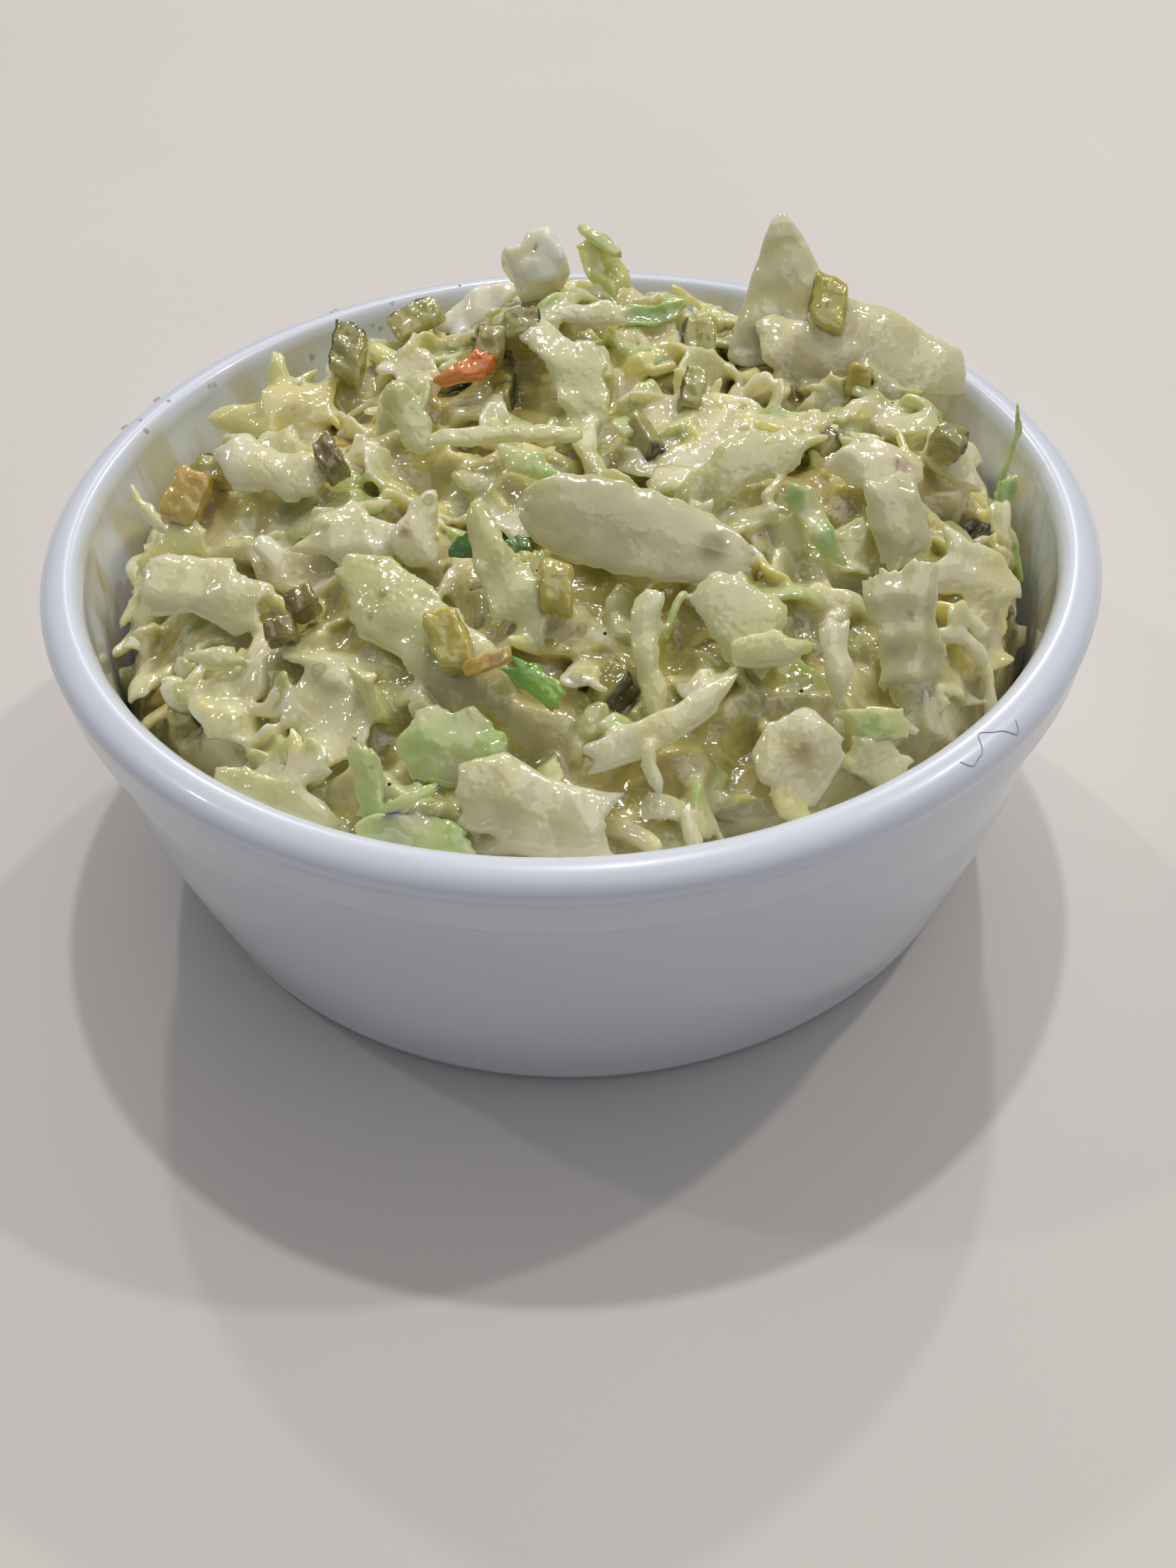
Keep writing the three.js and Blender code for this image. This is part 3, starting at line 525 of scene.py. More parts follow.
def sheet(size, steps, rng, curl=0, cup=0, bow=0, twist=0, taper=1, blunt=4, corners=0, jag=0.15,
          ragged=0.3, crumple=0.12, rib=0.0, slant=0.0):
    """One leaf or shred about its own middle: points, quads, and each point's place along and across it.

    Its two faces share a rounded rim. With corners it is a chopped scrap, and without them it is even.
    ragged is how far the torn edges stray, in millimetres.
    """
    length, width, thickness = size
    rows, columns = steps
    along = np.sin(np.linspace(-1, 1, rows) * math.pi / 2)[:, None] * np.ones((1, columns))
    over = np.ones((rows, 1)) * np.sin(np.linspace(-1, 1, columns) * math.pi / 2)[None, :]
    rim = np.maximum(np.abs(along), np.abs(over))
    if corners:
        away, direction = square_to_round(along, over)
        reach, side = cut_reach(direction, rng, corners, blunt, jag)
        tears = rng.choice(CLEAN_OR_TORN, corners)[side]
        t = 0.5 + 0.5 * away * reach * np.cos(direction)
        x = (t - 0.5) * length
        y = away * reach * np.sin(direction) * 0.5 * width * lerp(1, taper, t) / max(1, taper)
        edge = direction * 0.5 * math.sqrt(length * width)
        stray = ragged * tears * torn(edge, rng, SIDE_TEARS) * away**5
        x = x + stray * np.cos(direction)
        y = y + stray * np.sin(direction)
    else:
        t = lerp(END_TRIM, 1 - END_TRIM, (along + 1) / 2)
        ends = np.sqrt(np.clip(1 - np.abs(2 * t - 1) ** blunt, 0, 1))
        x = (t - 0.5) * length
        y = over * 0.5 * width * lerp(1, taper, t) * ends / max(1, taper)
        tears = rng.uniform(0.2, 1.0, 2)
        stray = ragged * np.where(over > 0, tears[0] * torn(x, rng), tears[1] * torn(x, rng))
        y = y + np.sign(over) * stray * np.abs(over) ** 3 * ends
        x = x + slant * y * np.abs(along) ** 3
        x = x + ragged * torn(3 * over + along, rng, END_TEARS) * along**5
    plan = np.stack([x, y], -1)
    fold = sum(share * crumple * ripples(plan, wavelength, rng) for share, wavelength in FOLDS)
    profile = np.sqrt(np.clip(1 - rim**RIM_POWER, 0, 1)) * (1 + rib * (1 - np.abs(over)) ** 2)
    top = bent(x, y, fold + profile * thickness / 2, size, curl, cup, bow, twist).reshape(-1, 3)
    under = bent(x, y, fold - profile * thickness / 2, size, curl, cup, bow, twist).reshape(-1, 3)
    index = np.arange(rows * columns).reshape(rows, columns)
    inner = np.zeros((rows, columns), bool)
    inner[1:-1, 1:-1] = True
    below = index.copy()
    below[inner] = rows * columns + np.arange(inner.sum())
    points = np.concatenate([top, under[inner.ravel()]])
    faces = np.concatenate([quads_of(index), quads_of(below)[:, ::-1]])
    flat_along = np.concatenate([along.ravel(), along[inner]])
    flat_over = np.concatenate([over.ravel(), over[inner]])
    return points, faces, flat_along, flat_over


def die(size, steps, rng, square=7.0, wear=0.06):
    """One cut block about its own middle: points, quads, and each point's place along and across it."""
    edge = np.linspace(-1, 1, steps)
    a, b = np.meshgrid(edge, edge, indexing="ij")
    sides = []
    for axis in range(3):
        for end in (-1, 1):
            side = np.empty((steps, steps, 3))
            side[..., axis] = end
            side[..., (axis + 1) % 3] = a if end > 0 else b
            side[..., (axis + 2) % 3] = b if end > 0 else a
            sides.append(side)
    cloud = np.round(np.concatenate([side.reshape(-1, 3) for side in sides]), 6)
    unit, index = np.unique(cloud, axis=0, return_inverse=True)
    faces = np.concatenate([quads_of(grid) for grid in index.reshape(6, steps, steps)])
    points = unit / (np.abs(unit) ** square).sum(1, keepdims=True) ** (1 / square)
    lean = rng.normal(0, CUT_LEAN, (2, 2))
    points[:, 0] += lean[0, 0] * points[:, 1] + lean[0, 1] * points[:, 2]
    points[:, 1] += lean[1, 0] * points[:, 2]
    points *= np.array(size) / 2
    points += wear * min(size) * np.stack([ripples(points, 0.7 * min(size), rng) for _ in range(3)], -1)
    return points, faces, unit[:, 0], unit[:, 1]


def set_down(points, middle, directions):
    """Points of a piece carried from its own middle to its place."""
    return np.asarray(middle, float) + points @ np.stack(directions)


def kept_in_bowl(points, gap=WALL_GAP):
    """Points pressed in where they would pass the bowl's wall or its lip."""
    radius = np.hypot(points[:, 0], points[:, 1])
    limit = inner_wall(np.clip(points[:, 2], FLOOR, INNER_TOP)) - gap
    share = np.minimum(1, limit / np.maximum(radius, 1e-6))
    pressed = points.copy()
    pressed[:, :2] *= share[:, None]
    return pressed


# ---------------------------------------------------------------- the heap
# Kinds of the loose pieces and the share of each.
SCRAP_SHARES = dict(white=0.42, pale=0.27, clear=0.06, yellow=0.12, green=0.08, mint=0.025, lime=0.025)
DICE_SHARES = dict(skinned=0.3, olive=0.32, gold=0.24, amber=0.04, brown=0.09, carrot=0.01)
BIT_SHARES = dict(white=0.46, pale=0.26, yellow=0.16, green=0.09, lime=0.03)
SHAPE_SHARES = (0.56, 0.32, 0.12)  # of leaf scraps, shreds and chips of stalk
DICE_EVERY = 11  # one loose piece in so many is a die
# Kinds that the dressing coats when they stand out, and kinds that it never coats.
DRESSED_KINDS = ("white", "pale", "yellow")
DICED_KINDS = ("skinned", "olive", "brown", "gold", "amber", "carrot", "parsley", "sprig")

# How a piece that stands out is shaped where its own row doesn't say.
SHRED_WIDTH = 3.3  # narrower pieces are shreds
SHRED_FORM = dict(corners=0, jag=0.24, ragged=0.55, crumple=0.12)
LEAF_FORM = dict(corners=12, jag=0.24, ragged=0.45, crumple=0.3)
SHRED_BLUNT = 6  # at least
LEAF_SHARE = 0.75  # share of the listed thickness that is leaf; the rest is dressing
ROWS_PER_MM, ROWS = 2.6, (18, 56)
COLUMNS_PER_MM, COLUMNS = 3.0, (12, 34)
DIE_STEPS, LOOSE_DIE_STEPS = 11, 7
DIE_SIZES, DIE_STRETCH = (2.0, 4.4), (1.25, 1, 0.9)  # of the loose dice

STEEP_CHANCE, STEEP_LEAN, SCRAP_LEAN = 0.15, 0.8, 0.3  # leans are radians off the slope
OVERSHOOT = (-0.8, 2.2)  # how far a loose scrap may pass the heap's form
LOOSE_REACH = 47.5  # how far from the middle the loose pieces lie
BIT_REACH = 49  # how far from the middle the small torn bits lie
HEADROOM = 0.4  # how far loose pieces stay under those that stand out
RESTS_ON = 72  # percentile of the gaps under a loose piece that closes as it is laid
KEPT_UNDER = 92  # percentile of its points that stays under the limit
BIT_RESTS_ON = (40, 75)
COVERED_SHARE = 0.3  # how much a dressed piece that stands out keeps the small bits off itself
CROWDED = 0.12  # share of taken ground at which a small bit is left out
SEEN_DEPTH, SEEN_SHARE = 1.3, 0.05  # a piece is kept if this share of it lies no deeper than that
CREST_BLUR = 3  # cells over which the crests round a hollow are found
# painted shade: what lies this deep under the crests round it is darkened and yellowed by this share
HOLLOW_DEPTHS, HOLLOW_JUICE = (1.5, 6.0), 0.6
MOTTLE, MOTTLE_LENGTH = 0.35, 6.0
BRIGHTNESS = (0.9, 1.02)
STAIN_EDGE = (1.3, 0.3)  # in radii of the stain
SIDE_SKIN, END_SKIN, SKIN_STRENGTH = (0.86, 0.99), (0.9, 1.0), 0.9


def drawn(rng, shares):
    """One kind, drawn by the share of each."""
    return rng.choice(list(shares), p=list(shares.values()))


def cells(points):
    """The cell of the height grid under each point."""
    i = np.clip(np.rint((points[:, :2] + REACH) / CELL).astype(int), 0, int(2 * REACH / CELL))
    return i[:, 0], i[:, 1]


def blurred(grid, radius):
    """A height field smoothed over about a radius in cells."""
    kernel = np.exp(-0.5 * (np.arange(-2 * radius, 2 * radius + 1) / radius) ** 2)
    kernel /= kernel.sum()
    padded = np.pad(grid, 2 * radius, mode="edge")
    rows = np.apply_along_axis(lambda line: np.convolve(line, kernel, "valid"), 0, padded)
    return np.apply_along_axis(lambda line: np.convolve(line, kernel, "valid"), 1, rows)


def dressed(piece):
    """Whether the dressing coats a piece and holds it in its own skin; the others stick out of it."""
    if piece["named"]:
        return piece["kind"] in DRESSED_KINDS
    return piece["kind"] not in DICED_KINDS


class Heap:
    """Where every piece of the slaw lies, laid one on another up to the heap's form."""

    def __init__(self, settings):
        self.settings = settings
        self.rng = np.random.default_rng(settings.seed)
        axis = np.arange(-REACH, REACH + CELL / 2, CELL)
        self.x, self.y = np.meshgrid(axis, axis, indexing="ij")
        self.form = slaw_height(self.x, self.y)
        wall = inner_wall(np.clip(self.form, FLOOR, INNER_TOP))
        self.inside = np.hypot(self.x, self.y) < wall - WALL_GAP
        self.height = self.form - settings.loose_depth / MM
        self.ceiling = np.full_like(self.form, np.inf)
        self.pieces = []
        self.lay_named_pieces()
        self.lay_scraps()
        self.lay_fillers()
        self.taken = np.zeros(self.form.shape)
        for piece in self.named:
            self.add(piece)
            i, j = cells(piece["points"])
            self.taken[i, j] = np.maximum(self.taken[i, j], COVERED_SHARE if dressed(piece) else 1.0)
        self.lay_fragments()
        self.leave_out_hidden()
        self.shade_hollows()

    def leave_out_hidden(self):
        """Drops the loose pieces that lie wholly under others."""
        kept = []
        for piece in self.pieces:
            i, j = cells(piece["points"])
            seen = np.mean(self.height[i, j] - piece["points"][:, 2] < SEEN_DEPTH)
            if piece["named"] or seen > SEEN_SHARE:
                kept.append(piece)
        self.pieces = kept

    def shade_hollows(self):
        """Paints shade on what lies in the hollows, turning its colour darker and yellower."""
        crest = blurred(self.height, CREST_BLUR)
        for piece in self.pieces:
            i, j = cells(piece["points"])
            depth = smoothstep(*HOLLOW_DEPTHS, crest[i, j] - piece["points"][:, 2])
            piece["tint"] = lerp(piece["tint"], piece["tint"] * JUICE, HOLLOW_JUICE * depth[:, None])

    def add(self, piece):
        self.pieces.append(piece)
        i, j = cells(piece["points"])
        np.maximum.at(self.height, (i, j), piece["points"][:, 2])

    def tint(self, kind, along, over, points):
        """Colours over a piece: from one of its kind's colours to the other, with a little mottling."""
        rng = self.rng
        first, second = (linear(c) for c in PALETTE[kind])
        run = 0.5 + 0.5 * along * rng.choice([-1, 1]) + MOTTLE * ripples(points, MOTTLE_LENGTH, rng)
        return lerp(first, second, np.clip(run, 0, 1)[:, None]) * rng.uniform(*BRIGHTNESS)

    def lay_named_pieces(self):
        """Places the leaves, shreds and dice that stand out, and keeps the room over them free."""
        self.named = []
        for number, (name, kind, middle, turn, size, bends) in enumerate(NAMED_PIECES):
            rng = np.random.default_rng((self.settings.seed, number))
            slim = size[1] < SHRED_WIDTH
            form = dict(SHRED_FORM, slant=rng.uniform(-0.9, 0.9)) if slim else dict(LEAF_FORM)
            form.update(bends)
            if slim and not form["corners"]:
                form["blunt"] = max(form.get("blunt", 4), SHRED_BLUNT)
                form["bow"] = form.get("bow", 0) + rng.uniform(-22, 22)
                form["taper"] = form.get("taper", 1) * rng.uniform(0.7, 1.3)
            length, width, thickness = size
            steps = (
                int(np.clip(length * ROWS_PER_MM, *ROWS)),
                int(np.clip(width * COLUMNS_PER_MM, *COLUMNS)),
            )
            size = (length, width, LEAF_SHARE * thickness)
            shape = sheet(size, steps, rng, twist=rng.uniform(-14, 14), rib=0.2, **form)
            self.place_named(name, kind, shape, middle, turn, self.tint)
        for number, (name, kind, middle, turn, size) in enumerate(NAMED_DICE):
            rng = np.random.default_rng((self.settings.seed + 1, number))
            self.place_named(name, kind, die(size, DIE_STEPS, rng), middle, turn, self.die_tint)
        for piece in self.named:
            i, j = cells(piece["points"])
            np.minimum.at(self.ceiling, (i, j), piece["points"][:, 2] - HEADROOM)

    def place_named(self, name, kind, shape, middle, turn, tint):
        """Sets down one piece that stands out, with its stain if it has one."""
        flat, faces, along, over = shape
        points = kept_in_bowl(set_down(flat, middle, turned_frame(*turn)))
        colours = tint(kind, along, over, points)
        if name in STAINS:
            colour, mark_along, mark_over, radius, strength = STAINS[name]
            away = np.hypot(flat[:, 0] - mark_along, flat[:, 1] - mark_over) / radius
            colours = lerp(colours, linear(colour), strength * smoothstep(*STAIN_EDGE, away)[:, None])
        self.named.append(
            dict(kind=kind, points=points, faces=faces, flat=flat, tint=colours, named=True)
        )

    def die_tint(self, kind, along, over, points):
        """Colours over a die, with dark skin on one side, or on one side and one end."""
        colours = self.tint(kind, along, over, points)
        if kind in ("skinned", "olive"):
            skin = smoothstep(*SIDE_SKIN, over) + smoothstep(*END_SKIN, along) * (kind == "skinned")
            colours = lerp(colours, linear(PICKLE_SKIN), np.clip(skin, 0, 1)[:, None] * SKIN_STRENGTH)
        return colours

    def resting(self, flat, x, y, lean):
        """Points of a loose piece over a spot, turned at random and tilted off the slope there."""
        rng = self.rng
        directions = frame_on(slope_normal(x, y), rng.uniform(0, 2 * math.pi))
        directions = leaned(directions, rng.normal(0, lean), rng.normal(0, lean))
        return set_down(flat, (x, y, 0.0), directions)

    def add_loose(self, kind, shape, points, tint):
        """Adds a loose piece where its points are, pressed in by the wall."""
        flat, faces, along, over = shape
        points = kept_in_bowl(points)
        colours = tint(kind, along, over, points)
        self.add(dict(kind=kind, points=points, faces=faces, flat=flat, tint=colours, named=False))

    def lay_piece(self, kind, shape, tint, lean, overshoot):
        """Lays one loose piece where the heap is furthest below its form."""
        limit = np.minimum(self.form + overshoot, self.ceiling)
        want = np.where(self.inside, np.clip(limit - self.height, 0, None), 0) ** 2
        share = np.cumsum(want.ravel())
        if share[-1] <= 0:
            return
        cell = int(np.searchsorted(share, self.rng.uniform(0, share[-1])))
        cell = min(cell, share.size - 1)
        x, y = self.x.ravel()[cell], self.y.ravel()[cell]
        pull = min(1.0, LOOSE_REACH / max(1e-6, math.hypot(x, y)))
        points = self.resting(shape[0], x * pull, y * pull, lean)
        i, j = cells(points)
        points[:, 2] += np.percentile(self.height[i, j] - points[:, 2], RESTS_ON)
        points[:, 2] -= max(0.0, np.percentile(points[:, 2] - limit[i, j], KEPT_UNDER))
        self.add_loose(kind, shape, points, tint)

    def leaf_scrap(self):
        """A chopped flat scrap of leaf."""
        rng = self.rng
        length = float(np.clip(rng.lognormal(2.25, 0.34), 4.5, 18))
        width = float(np.clip(length * rng.uniform(0.45, 0.9), 3.0, 12))
        return sheet(
            (length, width, rng.uniform(0.7, 1.05)), (20, 18), rng,
            curl=rng.normal(0, 26), cup=rng.normal(6, 24), twist=rng.normal(0, 18),
            corners=int(rng.integers(7, 14)), jag=rng.uniform(0.05, 0.5), blunt=3,
            ragged=rng.uniform(0.1, 0.5), crumple=rng.uniform(0.15, 0.5), rib=0.1,
        )

    def strip_scrap(self):
        """A long cut shred."""
        rng = self.rng
        return sheet(
            (rng.uniform(7, 17), rng.uniform(1.5, 3.4), rng.uniform(0.9, 1.5)), (24, 9), rng,
            curl=rng.normal(0, 45), cup=rng.normal(0, 25), bow=rng.normal(0, 45),
            twist=rng.normal(0, 30), taper=rng.uniform(0.35, 1.3), blunt=rng.uniform(3, 9),
            ragged=rng.uniform(0.05, 0.25), crumple=0.12,
        )

    def chunk_scrap(self):
        """A thick chip of stalk."""
        rng = self.rng
        length = rng.uniform(3.5, 8)
        return sheet(
            (length, length * rng.uniform(0.5, 0.85), rng.uniform(1.6, 2.8)), (13, 11), rng,
            curl=rng.normal(0, 15), cup=rng.normal(0, 15), corners=int(rng.integers(4, 7)), blunt=5,
            ragged=0.12, crumple=0.14,
        )

    def lay_scraps(self):
        """Chopped leaves, shreds, chips and dice up to the heap's form."""
        rng = self.rng
        makers = (self.leaf_scrap, self.strip_scrap, self.chunk_scrap)
        for number in range(self.settings.scraps):
            lean = STEEP_LEAN if rng.random() < STEEP_CHANCE else SCRAP_LEAN
            if number % DICE_EVERY == DICE_EVERY // 2:
                kind = drawn(rng, DICE_SHARES)
                shape = die(rng.uniform(*DIE_SIZES, 3) * DIE_STRETCH, LOOSE_DIE_STEPS, rng)
                self.lay_piece(kind, shape, self.die_tint, lean=0.4, overshoot=0.5)
                continue
            kind = drawn(rng, SCRAP_SHARES)
            shape = makers[rng.choice(len(makers), p=SHAPE_SHARES)]()
            self.lay_piece(kind, shape, self.tint, lean, overshoot=rng.uniform(*OVERSHOOT))

    def fragment(self):
        """A small torn bit of leaf, with its kind."""
        rng = self.rng
        kind = drawn(rng, BIT_SHARES)
        length = float(np.clip(rng.lognormal(1.6, 0.3), 2.8, 9.0))
        width = length * rng.uniform(0.35, 0.8) if rng.random() < 0.6 else rng.uniform(1.0, 1.7)
        return kind, sheet(
            (length, width, rng.uniform(0.6, 1.0)), (12, 10), rng, curl=rng.normal(0, 30),
            cup=rng.normal(0, 24), twist=rng.normal(0, 20), corners=int(rng.integers(6, 11)),
            jag=rng.uniform(0.1, 0.5), ragged=0.15, crumple=0.15,
        )

    def lay_fillers(self):
        """Small bits where the heap is still furthest below its form."""
        for _ in range(self.settings.fillers):
            kind, shape = self.fragment()
            self.lay_piece(kind, shape, self.tint, lean=0.5, overshoot=0.3)

    def lay_fragments(self):
        """Small bits half sunk in the dressing, between the pieces that stand out."""
        for _ in range(self.settings.fragments):
            x, y = self.random_spot()
            kind, shape = self.fragment()
            points = self.resting(shape[0], x, y, lean=0.35)
            i, j = cells(points)
            if np.mean(self.taken[i, j]) > CROWDED:
                continue
            gaps = self.height[i, j] - points[:, 2]
            points[:, 2] += np.percentile(gaps, self.rng.uniform(*BIT_RESTS_ON))
            self.add_loose(kind, shape, points, self.tint)

    def random_spot(self):
        radius = BIT_REACH * math.sqrt(self.rng.random())
        angle = self.rng.uniform(0, 2 * math.pi)
        return radius * math.cos(angle), radius * math.sin(angle)


@functools.cache
def heap():
    """The heap for the present settings, laid once."""
    return Heap(bpy.context.scene.coleslaw_slaw)


def joined(pieces):
    """Points, faces, colours and flat places of several pieces as one."""
    starts = np.cumsum([0] + [len(p["points"]) for p in pieces])
    faces = np.concatenate([p["faces"] + start for p, start in zip(pieces, starts)])
    points, tints, flat = (
        np.concatenate([p[key] for p in pieces]) for key in ("points", "tint", "flat")
    )
    return points, faces, tints, flat


def slaw_object(name, pieces, material):
    """One object of like pieces."""
    points, faces, tints, flat = joined(pieces)
    mesh = new_mesh(name, points, [faces])
    paint_points(mesh, tints)
    write_grain(mesh, flat)
    mesh.materials.append(material)
    piece = new_object(name, mesh)
    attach(piece, ROOT)
    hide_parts("slaw")
    return piece


# ---------------------------------------------------------------- shader helpers
def new_material(name):
    material = bpy.data.materials.new(name)
    material.use_nodes = True
    shader = material.node_tree.nodes["Principled BSDF"]
    return material, material.node_tree, shader


def set_values(node, **values):
    """Sets a node's own sockets; underscores in a name stand for spaces."""
    for name, value in values.items():
        node.inputs[name.replace("_", " ")].default_value = value


def shader_group(name, inputs, outputs):
    """An empty node group, with what comes into it and what it gives out.

    Its inputs are given as (name, type, default) and its outputs as (name, type).
    """
    group = bpy.data.node_groups.new(name, "ShaderNodeTree")
    for label, kind, default in inputs:
        socket = group.interface.new_socket(name=label, in_out="INPUT", socket_type="NodeSocket" + kind)
        socket.default_value = default
    for label, kind in outputs:
        group.interface.new_socket(name=label, in_out="OUTPUT", socket_type="NodeSocket" + kind)
    return group, group.nodes.new("NodeGroupInput").outputs, group.nodes.new("NodeGroupOutput").inputs


def group_node(tree, group, **values):
    node = tree.nodes.new("ShaderNodeGroup")
    node.node_tree = group
    set_values(node, **values)
    return node


def math_node(tree, operation, a, b):
    node = tree.nodes.new("ShaderNodeMath")
    node.operation = operation
    for socket, value in zip(node.inputs, (a, b)):
        if isinstance(value, (int, float)):
            socket.default_value = value
        else:
            tree.links.new(value, socket)
    return node.outputs[0]


def times(tree, a, b):
    return math_node(tree, "MULTIPLY", a, b)


def plus(tree, a, b):
    return math_node(tree, "ADD", a, b)


def object_place(tree):
    return tree.nodes.new("ShaderNodeTexCoord").outputs["Object"]


def attribute_node(tree, name):
    node = tree.nodes.new("ShaderNodeAttribute")
    node.attribute_name = name
    return node.outputs


def stretched(tree, vector, scale):
    node = tree.nodes.new("ShaderNodeMapping")
    node.inputs["Scale"].default_value = scale
    tree.links.new(vector, node.inputs["Vector"])
    return node.outputs["Vector"]


def bump_node(tree, height, strength, distance):
    node = tree.nodes.new("ShaderNodeBump")
    set_values(node, Strength=strength, Distance=distance)
    tree.links.new(height, node.inputs["Height"])
    return node.outputs["Normal"]


def ramp_node(tree, value, low, high):
    node = tree.nodes.new("ShaderNodeMapRange")
    node.interpolation_type = "SMOOTHSTEP"
    node.inputs["From Min"].default_value = low
    node.inputs["From Max"].default_value = high
    tree.links.new(value, node.inputs["Value"])
    return node.outputs["Result"]


def mix_colour(tree, factor, a, b, blend="MIX"):
    node = tree.nodes.new("ShaderNodeMix")
    node.data_type = "RGBA"
    node.blend_type = blend
    for socket, value in zip((node.inputs[0], node.inputs[6], node.inputs[7]), (factor, a, b)):
        if isinstance(value, (int, float)):
            socket.default_value = value
        elif isinstance(value, (tuple, list, np.ndarray)):
            socket.default_value = (*value[:3], 1)
        else:
            tree.links.new(value, socket)
    return node.outputs[2]


def noise_node(tree, vector, scale, detail=2.0, rough=0.5):
    node = tree.nodes.new("ShaderNodeTexNoise")
    set_values(node, Scale=scale, Detail=detail, Roughness=rough)
    tree.links.new(vector, node.inputs["Vector"])
    return node.outputs["Fac"]


# Scales of the looks, per metre; a grain is per millimetre along, across and through a piece.
SWELL_SCALE = 860
FINE_SCALE, FINE_SHARE = 1700, 0.16
BEAD_SCALE, BEAD_SHARE, BEAD_EDGE = 1150, 0.24, 0.55
BEAD_RELIEF = 0.8
WET_RELIEF, WET_HEIGHT = 0.7, 0.0007
GLOSS_SCALE = 260
MILK_SCALE = 230
RIB_GRAIN = (0.12, 0.85, 0.3)
FIBRE_GRAIN = (0.22, 1.5, 0.6)
FIBRE_TINT = (0.86, 0.88, 0.72)
GLOSS_SPAN = 0.08  # how much smoother than the dullest patches the glossiest are


def wet_group():
    """Normal and gloss of food wet with a thin, uneven film: low swells, beads and fine pitting."""
    if "Wet film" in bpy.data.node_groups:
        return bpy.data.node_groups["Wet film"]
    group, given, result = shader_group(
        "Wet film",
        [("Swell", "Float", 0.5), ("Beads", "Float", 0.5), ("Ribs", "Float", 0.5)],
        [("Normal", "Vector"), ("Gloss", "Float")],
    )
    place = object_place(group)
    swell = times(group, noise_node(group, place, SWELL_SCALE, 0.0), given["Swell"])
    fine = times(group, noise_node(group, place, FINE_SCALE, 0.0), FINE_SHARE)
    beads = group.nodes.new("ShaderNodeTexVoronoi")
    beads.feature = "SMOOTH_F1"
    set_values(beads, Scale=BEAD_SCALE, Smoothness=0.5)
    group.links.new(place, beads.inputs["Vector"])
    bead = times(group, ramp_node(group, beads.outputs["Distance"], BEAD_EDGE, 0.0), BEAD_SHARE)
    grain = stretched(group, attribute_node(group, "grain")["Vector"], RIB_GRAIN)
    ribs = times(group, noise_node(group, grain, 1.0, 1.0), given["Ribs"])
    small = times(group, plus(group, bead, fine), times(group, given["Beads"], BEAD_RELIEF))
    height = plus(group, plus(group, ribs, swell), small)
    group.links.new(bump_node(group, height, WET_RELIEF, WET_HEIGHT), result["Normal"])
    gloss = ramp_node(group, noise_node(group, place, GLOSS_SCALE, 3.0), 0.35, 0.68)
    group.links.new(gloss, result["Gloss"])
    return group


def leaf_group():
    """Colour of a leaf from its painted tint: fine fibres along it and paler, milky patches."""
    if "Leaf colour" in bpy.data.node_groups:
        return bpy.data.node_groups["Leaf colour"]
    group, given, result = shader_group(
        "Leaf colour",
        [("Tint", "Color", (1, 1, 1, 1)), ("Fibres", "Float", 0.5), ("Milk", "Float", 0.3)],
        [("Colour", "Color")],
    )
    grain = stretched(group, attribute_node(group, "grain")["Vector"], FIBRE_GRAIN)
    shade = ramp_node(group, noise_node(group, grain, 1.0, 3.0, 0.6), 0.3, 0.7)
    darker = mix_colour(group, 1.0, given["Tint"], FIBRE_TINT, "MULTIPLY")
    fibres = mix_colour(group, times(group, shade, given["Fibres"]), given["Tint"], darker)
    patches = ramp_node(group, noise_node(group, object_place(group), MILK_SCALE, 3.0), 0.42, 0.66)
    milky = mix_colour(group, times(group, patches, given["Milk"]), fibres, linear(CREAM))
    group.links.new(milky, result["Colour"])
    return group


def food_material(name, subsurface, roughness, fibres=0.5, milk=0.3, swell=0.5, beads=0.6, ribs=0.5):
    """A wet food surface over its painted tint; roughness is that of its dullest patches."""
    material, tree, shader = new_material(name)
    tint = tree.nodes.new("ShaderNodeVertexColor")
    tint.layer_name = "tint"
    leaf = group_node(tree, leaf_group(), Fibres=fibres, Milk=milk)
    tree.links.new(tint.outputs["Color"], leaf.inputs["Tint"])
    tree.links.new(leaf.outputs["Colour"], shader.inputs["Base Color"])
    wet = group_node(tree, wet_group(), Swell=swell, Beads=beads, Ribs=ribs)
    tree.links.new(wet.outputs["Normal"], shader.inputs["Normal"])
    smoother = times(tree, wet.outputs["Gloss"], GLOSS_SPAN)
    tree.links.new(math_node(tree, "SUBTRACT", roughness, smoother), shader.inputs["Roughness"])
    shader.subsurface_method = "RANDOM_WALK"
    set_values(
        shader, Subsurface_Weight=subsurface, Subsurface_Radius=(1.0, 0.97, 0.62),
        Subsurface_Scale=0.0018, IOR=1.7, Specular_IOR_Level=0.9,
    )
    return material


# ---------------------------------------------------------------- settings
class ColeslawBowlSettings(bpy.types.PropertyGroup):
    """The bowl's fineness and finish."""

    sides: bpy.props.IntProperty(name="Sides", description="Facets round the bowl", default=180, min=24)
    colour: bpy.props.FloatVectorProperty(
        name="Colour", description="Colour of the bowl", subtype="COLOR", size=3,
        default=tuple(linear(BOWL_COLOUR)), min=0, max=1,
    )
    roughness: bpy.props.FloatProperty(
        name="Roughness", description="Roughness of the glaze", subtype="FACTOR",
        default=0.27, min=0, max=1,
    )


